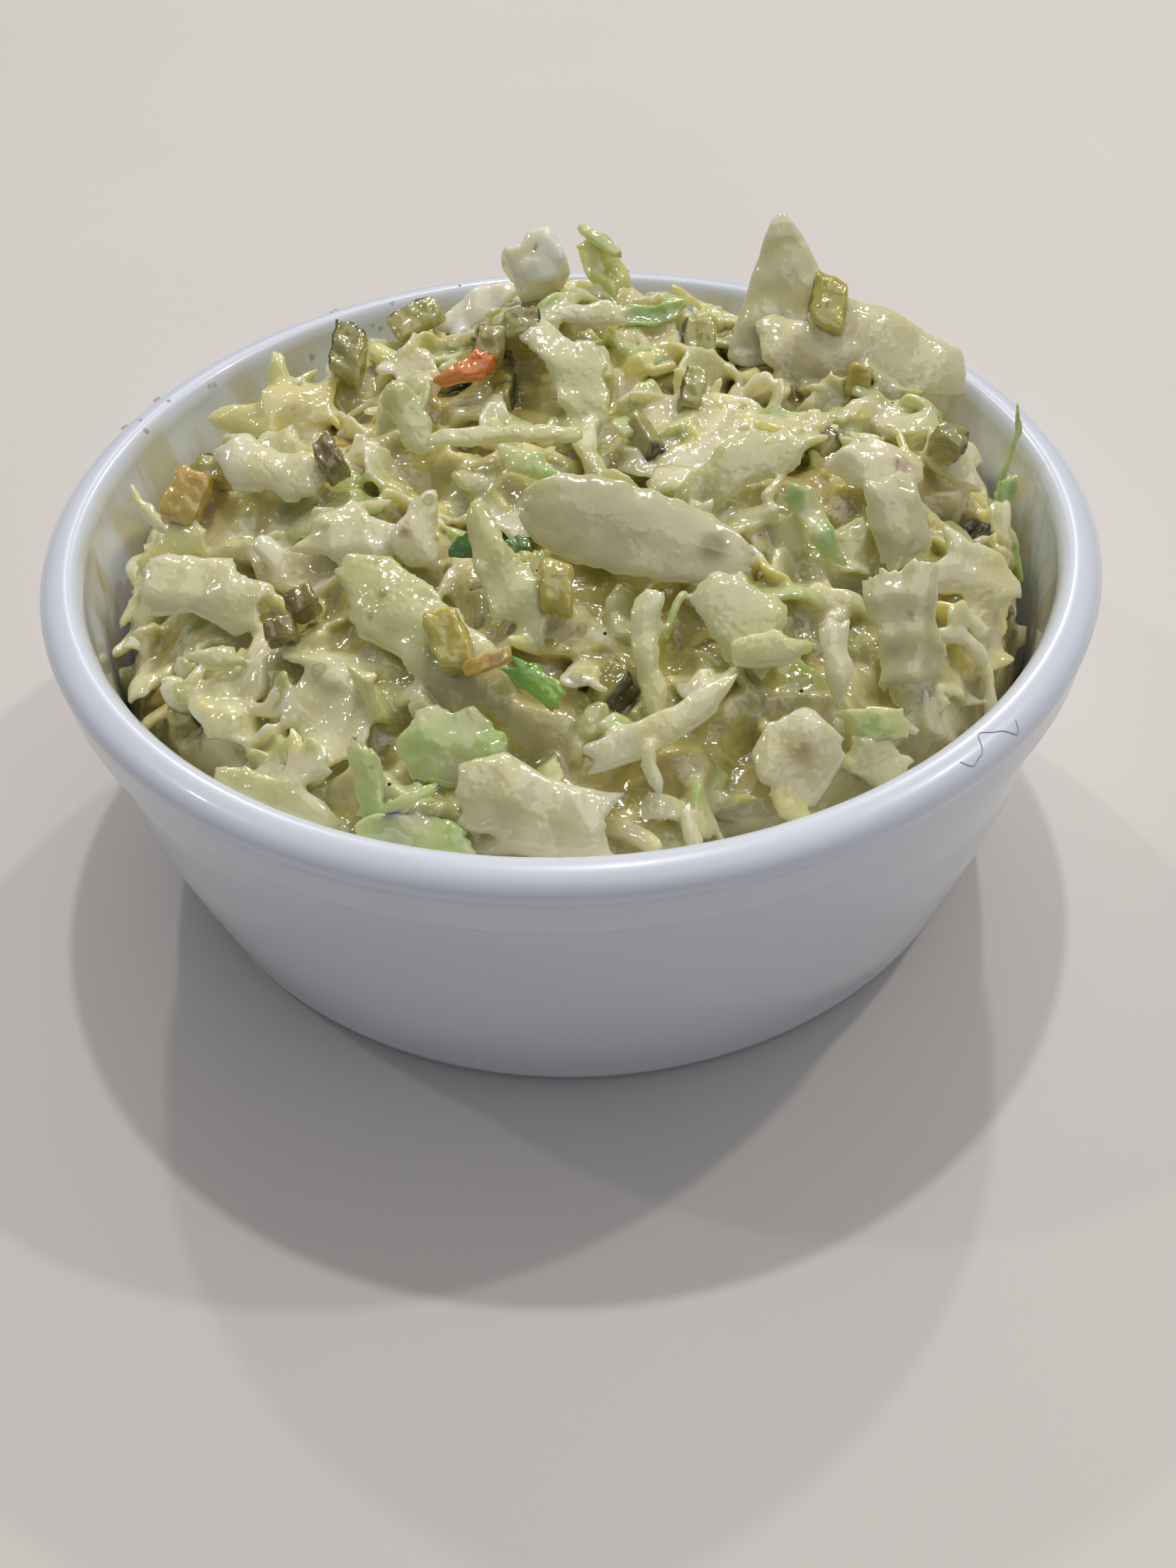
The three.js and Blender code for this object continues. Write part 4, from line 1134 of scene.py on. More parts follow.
class ColeslawSlawSettings(bpy.types.PropertyGroup):
    """How the heap is laid and dressed."""

    seed: bpy.props.IntProperty(name="Seed", description="Draw of the loose pieces", default=11)
    scraps: bpy.props.IntProperty(name="Scraps", description="Loose chopped pieces", default=560, min=0)
    fragments: bpy.props.IntProperty(
        name="Fragments", description="Small torn bits on top", default=260, min=0
    )
    fillers: bpy.props.IntProperty(
        name="Fillers", description="Small bits in the hollows", default=360, min=0
    )
    loose_depth: bpy.props.FloatProperty(
        name="Loose depth", description="Depth of loose pieces over the core", unit="LENGTH",
        default=0.007,
    )
    film_voxel: bpy.props.FloatProperty(
        name="Film fineness", description="Fineness of the dressing's mesh", unit="LENGTH",
        default=0.00036, precision=5,
    )


class ColeslawStageSettings(bpy.types.PropertyGroup):
    """The table's colour, the lights' power and the room's brightness."""

    floor_colour: bpy.props.FloatVectorProperty(
        name="Table colour", description="Colour of the table top", subtype="COLOR", size=3,
        default=tuple(linear(TABLE_COLOUR)), min=0, max=1,
    )
    light_power: bpy.props.FloatProperty(
        name="Light power", description="Share of the ceiling lights' full power", subtype="FACTOR",
        default=1.0, min=0,
    )
    fill: bpy.props.FloatProperty(name="Fill", description="Brightness of the room", default=0.16, min=0)


# ---------------------------------------------------------------- the bowl
def ellipse_arc(r, z, radius_r, radius_z, start, end, steps):
    """Points of an arc about (r, z), from one angle in degrees to another."""
    a = np.radians(np.linspace(start, end, steps + 1))
    return list(zip(r + radius_r * np.cos(a), z + radius_z * np.sin(a)))


def bowl_profile():
    """Radius and height of the bowl's section, from the middle underneath to the middle of its floor."""
    crest = LIP_RADIUS - LIP_OUT
    corner_top = FLOOR + INNER_CORNER
    corner = float(outer_wall(corner_top)) - WALL - INNER_CORNER
    corner_out = float(outer_wall(CORNER_HEIGHT)) - FOOT_OUTER
    outside = [(float(outer_wall(z)), z) for z in np.linspace(CORNER_HEIGHT, BAND_BOTTOM - 0.5, 16)[1:]]
    inside = [(float(inner_wall(z)), z) for z in np.linspace(INNER_TOP, corner_top, 18)[1:]]
    return [
        # underneath, up to the rounded inner edge of the foot ring
        (0.0, FOOT_DEPTH),
        (FOOT_INNER - 2.5, FOOT_DEPTH),
        *ellipse_arc(FOOT_INNER - 1.0, 0.6, 0.9, 0.6, 150, 270, 4)[1:-1],
        (FOOT_INNER, 0.0),
        # the corner and the wall
        *ellipse_arc(FOOT_OUTER, CORNER_HEIGHT, corner_out, CORNER_HEIGHT, -90, 0, 8),
        *outside,
        # the small step under the band, and the band
        (WALL_TOP_RADIUS + 0.12, BAND_BOTTOM - 0.15),
        (BAND_RADIUS - 0.75, BAND_BOTTOM + 0.05),
        *ellipse_arc(BAND_RADIUS - 0.6, BAND_BOTTOM + 0.65, 0.6, 0.6, -80, 0, 4),
        (BAND_RADIUS, LIP_HEIGHT - 1.6),
        (BAND_RADIUS + 0.1, LIP_HEIGHT - 1.0),
        # the lip, over its crest and down to the wall inside
        *ellipse_arc(crest, LIP_HEIGHT, LIP_OUT, BOWL_HEIGHT - LIP_HEIGHT, -6, 90, 12),
        *ellipse_arc(crest, INNER_TOP, LIP_IN, BOWL_HEIGHT - INNER_TOP, 90, 180, 12)[1:],
        *inside,
        # the inner corner and the floor
        *ellipse_arc(corner, corner_top, INNER_CORNER, INNER_CORNER, 0, -90, 10)[1:],
        (0.0, FLOOR),
    ]


def turned(profile, sides):
    """A closed solid of revolution of a section that starts and ends on the axis."""
    middle = np.array(profile[1:-1])
    angles = np.linspace(0, 2 * math.pi, sides, endpoint=False)
    ring = np.stack([np.cos(angles), np.sin(angles)], -1)
    heights = np.broadcast_to(middle[:, None, 1:], (len(middle), sides, 1))
    body = np.concatenate([middle[:, None, :1] * ring[None], heights], -1)
    points = np.concatenate([[(0, 0, profile[0][1])], body.reshape(-1, 3), [(0, 0, profile[-1][1])]])
    index = 1 + np.arange(len(middle) * sides).reshape(len(middle), sides)
    index = np.concatenate([index, index[:, :1]], 1)
    corners = [index[:-1, :-1], index[:-1, 1:], index[1:, 1:], index[1:, :-1]]
    quads = np.stack(corners, -1).reshape(-1, 4)
    first = np.stack([np.zeros(sides, int), index[0, 1:], index[0, :-1]], -1)
    last = np.stack([np.full(sides, len(points) - 1), index[-1, :-1], index[-1, 1:]], -1)
    return points, [quads, first, last]


# dressing smeared on the inner wall, which also stands in as painted shade there
SMEAR_EDGES = (0.9, -0.6)  # from the lip's inner radius: where the smeared and shaded band begins, and where it is full
SMEAR_STREAKS = (1, 1, 0.3)  # streaks are drawn out down the wall
SMEAR_SCALE = 95
SMEAR_STRENGTH = 0.7
WORN_TINT = (0.93, 0.93, 0.92)
WEAR_SCALE, WEAR_STRENGTH, WEAR_ROUGHNESS = 22, 0.35, 0.04
GLAZE_SCALE, GLAZE_RELIEF, GLAZE_HEIGHT = 95, 0.04, 0.0006


def smear_mask(tree, place):
    """Where the bowl's inner wall is smeared with dressing, which also stands in as painted shade there.
    """
    level = tree.nodes.new("ShaderNodeVectorMath")
    level.operation = "MULTIPLY"
    level.inputs[1].default_value = (1, 1, 0)
    tree.links.new(place, level.inputs[0])
    radius = tree.nodes.new("ShaderNodeVectorMath")
    radius.operation = "LENGTH"
    tree.links.new(level.outputs[0], radius.inputs[0])
    begins, full = ((INNER_TOP_RADIUS + edge) * MM for edge in SMEAR_EDGES)
    below_lip = ramp_node(tree, radius.outputs["Value"], begins, full)
    streaky = noise_node(tree, stretched(tree, place, SMEAR_STREAKS), SMEAR_SCALE, 4.0, 0.6)
    streaks = ramp_node(tree, streaky, 0.47, 0.6)
    return times(tree, times(tree, below_lip, streaks), attribute_node(tree, "inner")["Fac"])


def melamine_material(settings):
    """White glaze, a little worn, with dressing smeared on the inner wall, darker there also as painted
    shade.
    """
    material, tree, shader = new_material("White melamine")
    place = object_place(tree)
    white = np.array(settings.colour)
    wear = ramp_node(tree, noise_node(tree, place, WEAR_SCALE, 2.0, 0.5), 0.25, 0.8)
    clean = mix_colour(tree, times(tree, wear, WEAR_STRENGTH), white, white * WORN_TINT)
    # dressing smeared on the inner wall, darker also as painted shade
    smear = times(tree, smear_mask(tree, place), SMEAR_STRENGTH)
    tree.links.new(mix_colour(tree, smear, clean, linear(SMEAR)), shader.inputs["Base Color"])
    rough = plus(tree, times(tree, wear, WEAR_ROUGHNESS), settings.roughness)
    tree.links.new(rough, shader.inputs["Roughness"])
    uneven = bump_node(tree, noise_node(tree, place, GLAZE_SCALE, 2.0), GLAZE_RELIEF, GLAZE_HEIGHT)
    tree.links.new(uneven, shader.inputs["Normal"])
    set_values(shader, IOR=1.5, Coat_Weight=0.7, Coat_Roughness=0.05, Subsurface_Weight=0.08,
               Subsurface_Radius=(1.0, 1.0, 1.1), Subsurface_Scale=0.002)
    return material


class ColeslawMakeBowl(bpy.types.Operator):
    """Turn the bowl and give it its glaze"""

    bl_idname = "coleslaw.make_bowl"
    bl_label = "Bowl"

    def execute(self, context):
        settings = context.scene.coleslaw_bowl
        profile = bowl_profile()
        points, faces = turned(profile, settings.sides)
        mesh = new_mesh("white_bowl", points, faces)
        crest = int(np.argmax([z for _, z in profile]))
        rings = np.repeat(np.arange(1, len(profile) - 1) > crest, settings.sides)
        write_points(mesh, "inner", "FLOAT", "value", np.concatenate([[False], rings, [True]]))
        mesh.materials.append(melamine_material(settings))
        bowl = new_object("white_bowl", mesh)
        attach(bowl, ROOT)
        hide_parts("bowl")
        return {"FINISHED"}


# ---------------------------------------------------------------- the pieces of the slaw
LEAF_KINDS = ("clear", "peak", "stem")
GREEN_KINDS = ("green", "mint", "lime")
PICKLE_KINDS = ("skinned", "olive", "brown", "gold", "amber")
HERB_KINDS = ("parsley", "sprig")


class ColeslawMakeCabbage(bpy.types.Operator):
    """Lay the clear leaves, the peak leaf and the pieces of stem that stand out of the dressing"""

    bl_idname = "coleslaw.make_cabbage"
    bl_label = "Cabbage"

    def execute(self, context):
        leaf = food_material("Cabbage leaf", 1.0, 0.14, fibres=0.22, swell=0.1, beads=0.22, ribs=0.04)
        slaw_object("cabbage_leaves", [p for p in heap().named if p["kind"] in LEAF_KINDS], leaf)
        return {"FINISHED"}


class ColeslawMakeGreens(bpy.types.Operator):
    """Lay the green leaves that stand out of the dressing"""

    bl_idname = "coleslaw.make_greens"
    bl_label = "Green leaves"

    def execute(self, context):
        green = food_material(
            "Green leaf", 1.0, 0.14, fibres=0.4, milk=0.5, swell=0.2, beads=0.35, ribs=0.08
        )
        slaw_object("green_leaves", [p for p in heap().named if p["kind"] in GREEN_KINDS], green)
        return {"FINISHED"}


class ColeslawMakePickle(bpy.types.Operator):
    """Lay the diced pickle and the carrot"""

    bl_idname = "coleslaw.make_pickle"
    bl_label = "Pickle and carrot"

    def execute(self, context):
        pickle = food_material("Pickle", 0.7, 0.15, fibres=0.15, milk=0.08, beads=0.35, ribs=0.1)
        slaw_object("pickle_dice", [p for p in heap().pieces if p["kind"] in PICKLE_KINDS], pickle)
        carrot = food_material("Carrot", 0.4, 0.17, fibres=0.4, milk=0.1)
        slaw_object("carrot_chips", [p for p in heap().pieces if p["kind"] == "carrot"], carrot)
        return {"FINISHED"}


class ColeslawMakeHerbs(bpy.types.Operator):
    """Lay the flakes of parsley and green"""

    bl_idname = "coleslaw.make_herbs"
    bl_label = "Herbs"

    def execute(self, context):
        herb = food_material("Herb", 0.3, 0.2, milk=0.05)
        slaw_object("herb_flakes", [p for p in heap().pieces if p["kind"] in HERB_KINDS], herb)
        return {"FINISHED"}


# ---------------------------------------------------------------- the dressing
# The core under the loose pieces.
CORE_RADIUS, CORE_SIDES = 51.5, 150
CORE_BLUR = 2  # cells
CORE_OVER = 0.5  # how far it may pass the heap's form
CORE_WAVE, CORE_SEED = 6.0, 7
SLAB_RINGS, SLAB_DROP, SLAB_DEPTH, SLAB_RELIEF = 46, 2.4, 5, 0.9
BODY_RINGS, BODY_DROP = 14, 5.0

# The dressing's skin: how it is softened, and how thick it lies.
SOFTENING = 0.5  # share of the way to the neighbours' middle in each round
SOFT_ROUNDS = 20  # that fill the hollows
COAT_LENGTH, COAT_EDGES = 11.0, (-0.1, 0.8)  # its patches over the pieces
COAT_SOFTNESS = 0.45
FILLED_FILM, COAT_FILM, BARE_FILM = 0.75, 0.12, 0.35
DEEPEST_FILL = 1.2
SKIN_GAP = 0.6 * WALL_GAP
SKIN_TRIANGLES = 190000

# The dressing's colour, with painted shade where it lies deep and in hollows.
PATCH_LENGTH = 5.0
CLOSEST = 0.02  # square millimetres, so that the nearest corner isn't all that counts
COVER_LEAST, COVER_DEPTH, COVER_PATCH, COVER_RANGE = 0.1, 0.7, 0.2, (0.03, 1)
# painted shade: dressing that lies deep under the heap's form is darkened towards the deep colour
DEEP_DEPTHS, DEEP_SHARE = (1.6, 6.0), 0.65
# painted shade: dressing this deep under the crests round it is darkened and yellowed by this share
CAVITY_DEPTHS, CAVITY_JUICE = (0.4, 3.0), 0.85


def core_solids(laid):
    """The core under the loose pieces: an uneven top slab, and a plain body down to the bowl's floor."""
    smooth = blurred(laid.height, CORE_BLUR)
    angle = np.linspace(0, 2 * math.pi, CORE_SIDES, endpoint=False)

    def surface(radius, drop):
        x, y = radius * np.cos(angle), radius * np.sin(angle)
        i, j = cells(np.stack([x, y], -1))
        return np.stack([x, y, np.minimum(smooth[i, j], slaw_height(x, y) + CORE_OVER) - drop], -1)

    def closed(drop, bottom, rings, relief):
        layers = [surface(CORE_RADIUS * k / rings, drop) for k in range(1, rings + 1)]
        top = np.concatenate([surface(0.0, drop)[:1], *layers])
        top[:, 2] += relief * ripples(top[:, :2], CORE_WAVE, np.random.default_rng(CORE_SEED))
        top = kept_in_bowl(top)
        under = top.copy()
        under[:, 2] = bottom(top)
        under = kept_in_bowl(under)
        count = len(top)
        index = 1 + np.arange(rings * CORE_SIDES).reshape(rings, CORE_SIDES)
        index = np.concatenate([index, index[:, :1]], 1)
        quads = quads_of(index)
        middle = np.stack([np.zeros(CORE_SIDES, int), index[0, :-1], index[0, 1:]], -1)
        rim = index[-1]
        wall = np.stack([rim[:-1], rim[:-1] + count, rim[1:] + count, rim[1:]], -1)
        return np.concatenate([top, under]), [
            np.concatenate([quads, quads[:, ::-1] + count, wall]),
            np.concatenate([middle, middle[:, ::-1] + count]),
        ]

    slab = closed(SLAB_DROP, lambda top: top[:, 2] - SLAB_DEPTH, SLAB_RINGS, SLAB_RELIEF)
    body = closed(BODY_DROP, lambda top: np.full(len(top), FLOOR + WALL_GAP), BODY_RINGS, 0.0)
    return slab, body


def smoothed(values, edges, rounds):
    """Values at the points of a mesh, drawn towards the mean of their neighbours'."""
    ends = np.concatenate([edges[:, 0], edges[:, 1]])
    others = np.concatenate([edges[:, 1], edges[:, 0]])
    count = np.maximum(np.bincount(ends, minlength=len(values)), 1)
    for _ in range(rounds):
        total = np.stack([np.bincount(ends, column[others], len(values)) for column in values.T], -1)
        values = lerp(values, total / count[:, None], SOFTENING)
    return values


def modified_mesh(piece, name):
    """A plain mesh of an object with its modifiers applied; the object is removed."""
    evaluated = piece.evaluated_get(bpy.context.evaluated_depsgraph_get())
    mesh = bpy.data.meshes.new_from_object(evaluated)
    mesh.name = name
    bpy.data.objects.remove(piece)
    return mesh


def voxel_skin(slab, points, faces, voxel):
    """One closed skin round the slab and the pieces on it."""
    slab_points, (slab_quads, slab_triangles) = slab
    quads = np.concatenate([slab_quads, faces + len(slab_points)])
    every = np.concatenate([slab_points, points])
    mould = new_object("mould", new_mesh("mould", every, [quads, slab_triangles], 1.0))
    remesh = mould.modifiers.new("skin", "REMESH")
    remesh.mode = "VOXEL"
    remesh.voxel_size = voxel
    return modified_mesh(mould, "skin")


def coat_skin(skin, pieces, tree, rng):
    """Softens the skin in the hollows and in patches over the pieces, as dressing lies on them."""
    edges = read_all(skin.edges, "vertices", 2, np.int32)
    rough = smoothed(points_of(skin), edges, 1)
    soft = smoothed(rough, edges, SOFT_ROUNDS)
    move_points(skin, rough)
    skin.update()
    normals = read_all(skin.vertices, "normal", 3)
    apart = np.concatenate([np.full(len(p["faces"]), not dressed(p)) for p in pieces])
    bare = np.array([apart[tree.find_nearest(Vector(point))[2]] for point in rough], float)
    bare = smoothed(bare[:, None], edges, 2)[:, 0]
    coat = smoothstep(*COAT_EDGES, ripples(rough, COAT_LENGTH, rng)) * (1 - bare)
    filled = np.clip(((soft - rough) * normals).sum(1), 0, DEEPEST_FILL)
    film = FILLED_FILM * filled - BARE_FILM * bare + COAT_FILM * coat
    points = lerp(rough, soft, COAT_SOFTNESS * coat[:, None]) + normals * film[:, None]
    move_points(skin, kept_in_bowl(points, SKIN_GAP))


def thinned(skin, name):
    """The skin with fewer triangles."""
    slim = new_object("slim", skin)
    decimate = slim.modifiers.new("fewer", "DECIMATE")
    decimate.ratio = min(1.0, SKIN_TRIANGLES / (2 * len(skin.polygons)))
    return modified_mesh(slim, name)


def skin_looks(skin_points, laid, pieces, tree, rng):
    """Colours of the dressing over the pieces under it, with painted shade where it lies deep and in
    hollows, and the flat places of those pieces.
    """
    points, faces, tints, flat = pieces
    patch = ripples(skin_points, PATCH_LENGTH, rng)
    nearest = np.empty(len(skin_points), int)
    distance = np.empty(len(skin_points))
    for k, point in enumerate(skin_points):
        _, _, nearest[k], distance[k] = tree.find_nearest(Vector(point))
    corners = faces[nearest]
    closeness = 1 / (CLOSEST + np.linalg.norm(points[corners] - skin_points[:, None], axis=2) ** 2)
    closeness /= closeness.sum(1, keepdims=True)
    under_tint, grain = ((values[corners] * closeness[..., None]).sum(1) for values in (tints, flat))
    cover = np.clip(COVER_LEAST + COVER_DEPTH * distance + COVER_PATCH * patch, *COVER_RANGE)
    colours = lerp(under_tint, linear(CREAM), cover[:, None])
    # painted shade, darker and olive, where the dressing lies deep under the heap's form
    sunk = slaw_height(skin_points[:, 0], skin_points[:, 1]) - skin_points[:, 2]
    depth = smoothstep(*DEEP_DEPTHS, sunk)
    colours = lerp(colours, linear(DEEP), DEEP_SHARE * depth[:, None])
    # painted shade, darker and yellower, in the hollows under the crests
    i, j = cells(skin_points)
    cavity = smoothstep(*CAVITY_DEPTHS, blurred(laid.height, CREST_BLUR)[i, j] - skin_points[:, 2])
    return colours * lerp(1.0, JUICE, CAVITY_JUICE * cavity[:, None]), grain


def dressing_mesh(laid, settings):
    """One skin over the core and every piece, with the core's plain body under it."""
    rng = np.random.default_rng(settings.seed + 1)
    pieces = joined(laid.pieces)
    points, faces = pieces[:2]
    tree = BVHTree.FromPolygons(points.tolist(), faces.tolist())
    slab, (body_points, body_faces) = core_solids(laid)
    skin = voxel_skin(slab, points, faces, settings.film_voxel / MM)
    coat_skin(skin, laid.pieces, tree, rng)
    skin = thinned(skin, "dressing")
    skin_points = points_of(skin)
    colours, grain = skin_looks(skin_points, laid, pieces, tree, rng)
    mesh = new_mesh(
        "dressing", np.concatenate([skin_points, body_points]),
        [*skin_faces(skin), *(group + len(skin_points) for group in body_faces)],
    )
    # the core's body under the skin is painted all in the dark colour of the painted shade
    paint_points(mesh, np.concatenate([colours, np.tile(linear(DEEP), (len(body_points), 1))]))
    write_grain(mesh, np.concatenate([grain, body_points]))
    bpy.data.meshes.remove(skin)
    return mesh


def skin_faces(mesh):
    """The quads and the triangles of a mesh as two arrays."""
    sizes = read_all(mesh.polygons, "loop_total", kind=np.int32)
    starts = read_all(mesh.polygons, "loop_start", kind=np.int32)
    corners = read_all(mesh.loops, "vertex_index", kind=np.int32)
    return tuple(corners[starts[sizes == n][:, None] + np.arange(n)] for n in (4, 3))


class ColeslawMakeDressing(bpy.types.Operator):
    """Coat the pieces and fill the hollows with creamy dressing"""

    bl_idname = "coleslaw.make_dressing"
    bl_label = "Dressing"

    def execute(self, context):
        mesh = dressing_mesh(heap(), context.scene.coleslaw_slaw)
        mesh.materials.append(
            food_material(
                "Dressing", 1.0, 0.14, fibres=0.16, milk=0.2, swell=0.26, beads=0.5, ribs=0.05
            )
        )
        piece = new_object("dressing", mesh)
        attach(piece, ROOT)
        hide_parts("slaw")
        return {"FINISHED"}


# ---------------------------------------------------------------- pepper, bubbles, drops and the fibre
def strewn_group():
    """Geometry Nodes that strew small grains or drops over a surface and set them flat on it."""
    if "Strewn grains" in bpy.data.node_groups:
        return bpy.data.node_groups["Strewn grains"]
    tree = bpy.data.node_groups.new("Strewn grains", "GeometryNodeTree")
    tree.is_modifier = True
    tree.interface.new_socket(name="Surface", in_out="INPUT", socket_type="NodeSocketGeometry")
    for label, kind, default in (
        ("Density", "Float", 1000.0),
        ("Seed", "Int", 1),
        ("Smallest", "Float", 0.0002),
        ("Largest", "Float", 0.0004),
        ("Flatness", "Float", 0.6),
        ("Fineness", "Int", 1),
    ):
        socket = tree.interface.new_socket(name=label, in_out="INPUT", socket_type="NodeSocket" + kind)
        socket.default_value = default
    tree.interface.new_socket(name="Material", in_out="INPUT", socket_type="NodeSocketMaterial")
    tree.interface.new_socket(name="Grains", in_out="OUTPUT", socket_type="NodeSocketGeometry")
    entry = tree.nodes.new("NodeGroupInput").outputs
    spread = tree.nodes.new("GeometryNodeDistributePointsOnFaces")
    ball = tree.nodes.new("GeometryNodeMeshIcoSphere")
    ball.inputs["Radius"].default_value = 1.0
    squash = tree.nodes.new("ShaderNodeCombineXYZ")
    squash.inputs["X"].default_value = 1.0
    squash.inputs["Y"].default_value = 1.0
    flat = tree.nodes.new("GeometryNodeTransform")
    size = tree.nodes.new("FunctionNodeRandomValue")
    copies = tree.nodes.new("GeometryNodeInstanceOnPoints")
    solid = tree.nodes.new("GeometryNodeRealizeInstances")
    smooth = tree.nodes.new("GeometryNodeSetShadeSmooth")
    coloured = tree.nodes.new("GeometryNodeSetMaterial")
    leave = tree.nodes.new("NodeGroupOutput")
    for start, end in (
        (entry["Surface"], spread.inputs["Mesh"]),
        (entry["Density"], spread.inputs["Density"]),
        (entry["Seed"], spread.inputs["Seed"]),
        (entry["Fineness"], ball.inputs["Subdivisions"]),
        (entry["Flatness"], squash.inputs["Z"]),
        (ball.outputs["Mesh"], flat.inputs["Geometry"]),
        (squash.outputs["Vector"], flat.inputs["Scale"]),
        (entry["Smallest"], size.inputs[2]),
        (entry["Largest"], size.inputs[3]),
        (entry["Seed"], size.inputs["Seed"]),
        (spread.outputs["Points"], copies.inputs["Points"]),
        (spread.outputs["Rotation"], copies.inputs["Rotation"]),
        (flat.outputs["Geometry"], copies.inputs["Instance"]),
        (size.outputs[1], copies.inputs["Scale"]),
        (copies.outputs["Instances"], solid.inputs["Geometry"]),
        (solid.outputs["Geometry"], smooth.inputs["Geometry"]),
        (smooth.outputs["Geometry"], coloured.inputs["Geometry"]),
        (entry["Material"], coloured.inputs["Material"]),
        (coloured.outputs["Geometry"], leave.inputs["Grains"]),
    ):
        tree.links.new(start, end)
    return tree


def patch_of(mesh, wanted):
    """A plain mesh of the faces of another whose middle and normal are wanted."""
    points = points_of(mesh)
    groups = []
    for faces in skin_faces(mesh):
        if not len(faces):
            continue
        corners = points[faces]
        normal = np.cross(corners[:, 1] - corners[:, 0], corners[:, 2] - corners[:, 0])
        normal /= np.maximum(np.linalg.norm(normal, axis=1, keepdims=True), 1e-12)
        groups.append(faces[wanted(corners.mean(1) / MM, normal)])
    return new_mesh("patch", points, groups, 1.0)


def strewn(name, patch, material, values):
    """An object of grains strewn over a patch; values are the tree's inputs."""
    host = new_object("host", patch)
    tree = strewn_group()
    modifier = host.modifiers.new("strewn", "NODES")
    modifier.node_group = tree
    items = tree.interface.items_tree
    sockets = {item.name: item.identifier for item in items if item.in_out == "INPUT"}
    for label, value in dict(values, Material=material).items():
        modifier[sockets[label]] = value
    mesh = modified_mesh(host, name)
    if not mesh.polygons:
        raise RuntimeError(f"no grains were made for {name}")
    piece = new_object(name, mesh)
    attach(piece, ROOT)
    return piece


def plain_material(name, code, **values):
    """A material of one colour."""
    material, _, shader = new_material(name)
    set_values(shader, Base_Color=(*linear(code), 1), **values)
    return material


def on_top(middle, normal):
    """The top of the heap."""
    return (normal[:, 2] > 0.35) & (middle[:, 2] > 36)


def in_cream(middle, normal):
    """The level cream left of the middle, towards the front."""
    left_middle = (np.abs(middle[:, 0] + 12) < 18) & (np.abs(middle[:, 1] + 22) < 16)
    return left_middle & (normal[:, 2] > 0.6) & (middle[:, 2] > 40)


def on_back_left_lip(middle, normal):
    """The top and the inner side of the lip, from the back to the left."""
    angle = np.degrees(np.arctan2(middle[:, 1], middle[:, 0]))
    outward = (normal[:, :2] * middle[:, :2]).sum(1) / np.linalg.norm(middle[:, :2], axis=1)
    return (middle[:, 2] > 37) & (angle > 75) & (outward < 0.6) & (normal[:, 2] > -0.2)


# Strewn grains: their name, the object under them, where on it, their material and the tree's inputs.
GRAINS = (
    ("pepper_specks", "dressing", on_top,
     dict(name="Pepper", code="2E2418", Roughness=0.5),
     dict(Density=3600.0, Smallest=0.0001, Largest=0.00024, Flatness=0.6, Fineness=1)),
    ("dressing_bubbles", "dressing", in_cream,
     dict(name="Bubble", code="E8EADC", Roughness=0.03, IOR=1.33, Transmission_Weight=0.85,
          Specular_IOR_Level=0.8),
     dict(Density=26000.0, Smallest=0.0003, Largest=0.0008, Flatness=0.55, Fineness=3)),
    ("lip_drops", "white_bowl", on_back_left_lip,
     dict(name="Drop", code="F0EFE6", Roughness=0.04, IOR=1.33, Transmission_Weight=0.9,
          Specular_IOR_Level=0.8),
     dict(Density=30000.0, Smallest=0.00015, Largest=0.00055, Flatness=0.5, Fineness=2)),
)

FIBRE_ANGLES = (-52.0, -43.5)  # where the fibre starts and ends round the lip, in degrees
FIBRE_WIDTH = 0.07
FIBRE_INSET = 1.6  # from the outside of the lip
FIBRE_WAVES = ((0.9, 9), (0.2, 23))  # how far it strays from there, and the radians it does so over
FIBRE_STEPS, FIBRE_SIDES = 140, 6


def fibre_mesh(name):
    """A stray fibre lying in waves on the front right of the lip."""
    t = np.linspace(0, 1, FIBRE_STEPS)
    angle = np.radians(lerp(*FIBRE_ANGLES, t))
    radius = LIP_RADIUS - FIBRE_INSET
    for stray, run in FIBRE_WAVES:
        radius = radius + stray * np.sin(run * t)
    lowered = np.clip((radius - (LIP_RADIUS - LIP_OUT)) / LIP_OUT, -1, 1)
    height = LIP_HEIGHT + (BOWL_HEIGHT - LIP_HEIGHT) * np.sqrt(1 - lowered**2) + 0.5 * FIBRE_WIDTH
    path = np.stack([radius * np.cos(angle), radius * np.sin(angle), height], -1)
    along = np.gradient(path, axis=0)
    along /= np.linalg.norm(along, axis=1, keepdims=True)
    side = np.cross(along, (0, 0, 1))
    side /= np.linalg.norm(side, axis=1, keepdims=True)
    up = np.cross(side, along)
    turn = np.linspace(0, 2 * math.pi, FIBRE_SIDES, endpoint=False)[None, :, None]
    circle = np.cos(turn) * side[:, None] + np.sin(turn) * up[:, None]
    ring = path[:, None] + 0.5 * FIBRE_WIDTH * circle
    index = np.arange(FIBRE_STEPS * FIBRE_SIDES).reshape(FIBRE_STEPS, FIBRE_SIDES)
    index = np.concatenate([index, index[:, :1]], 1)
    caps = np.stack([index[0, :-1][::-1], index[-1, :-1]])
    return new_mesh(name, ring.reshape(-1, 3), [quads_of(index)[:, ::-1], caps])


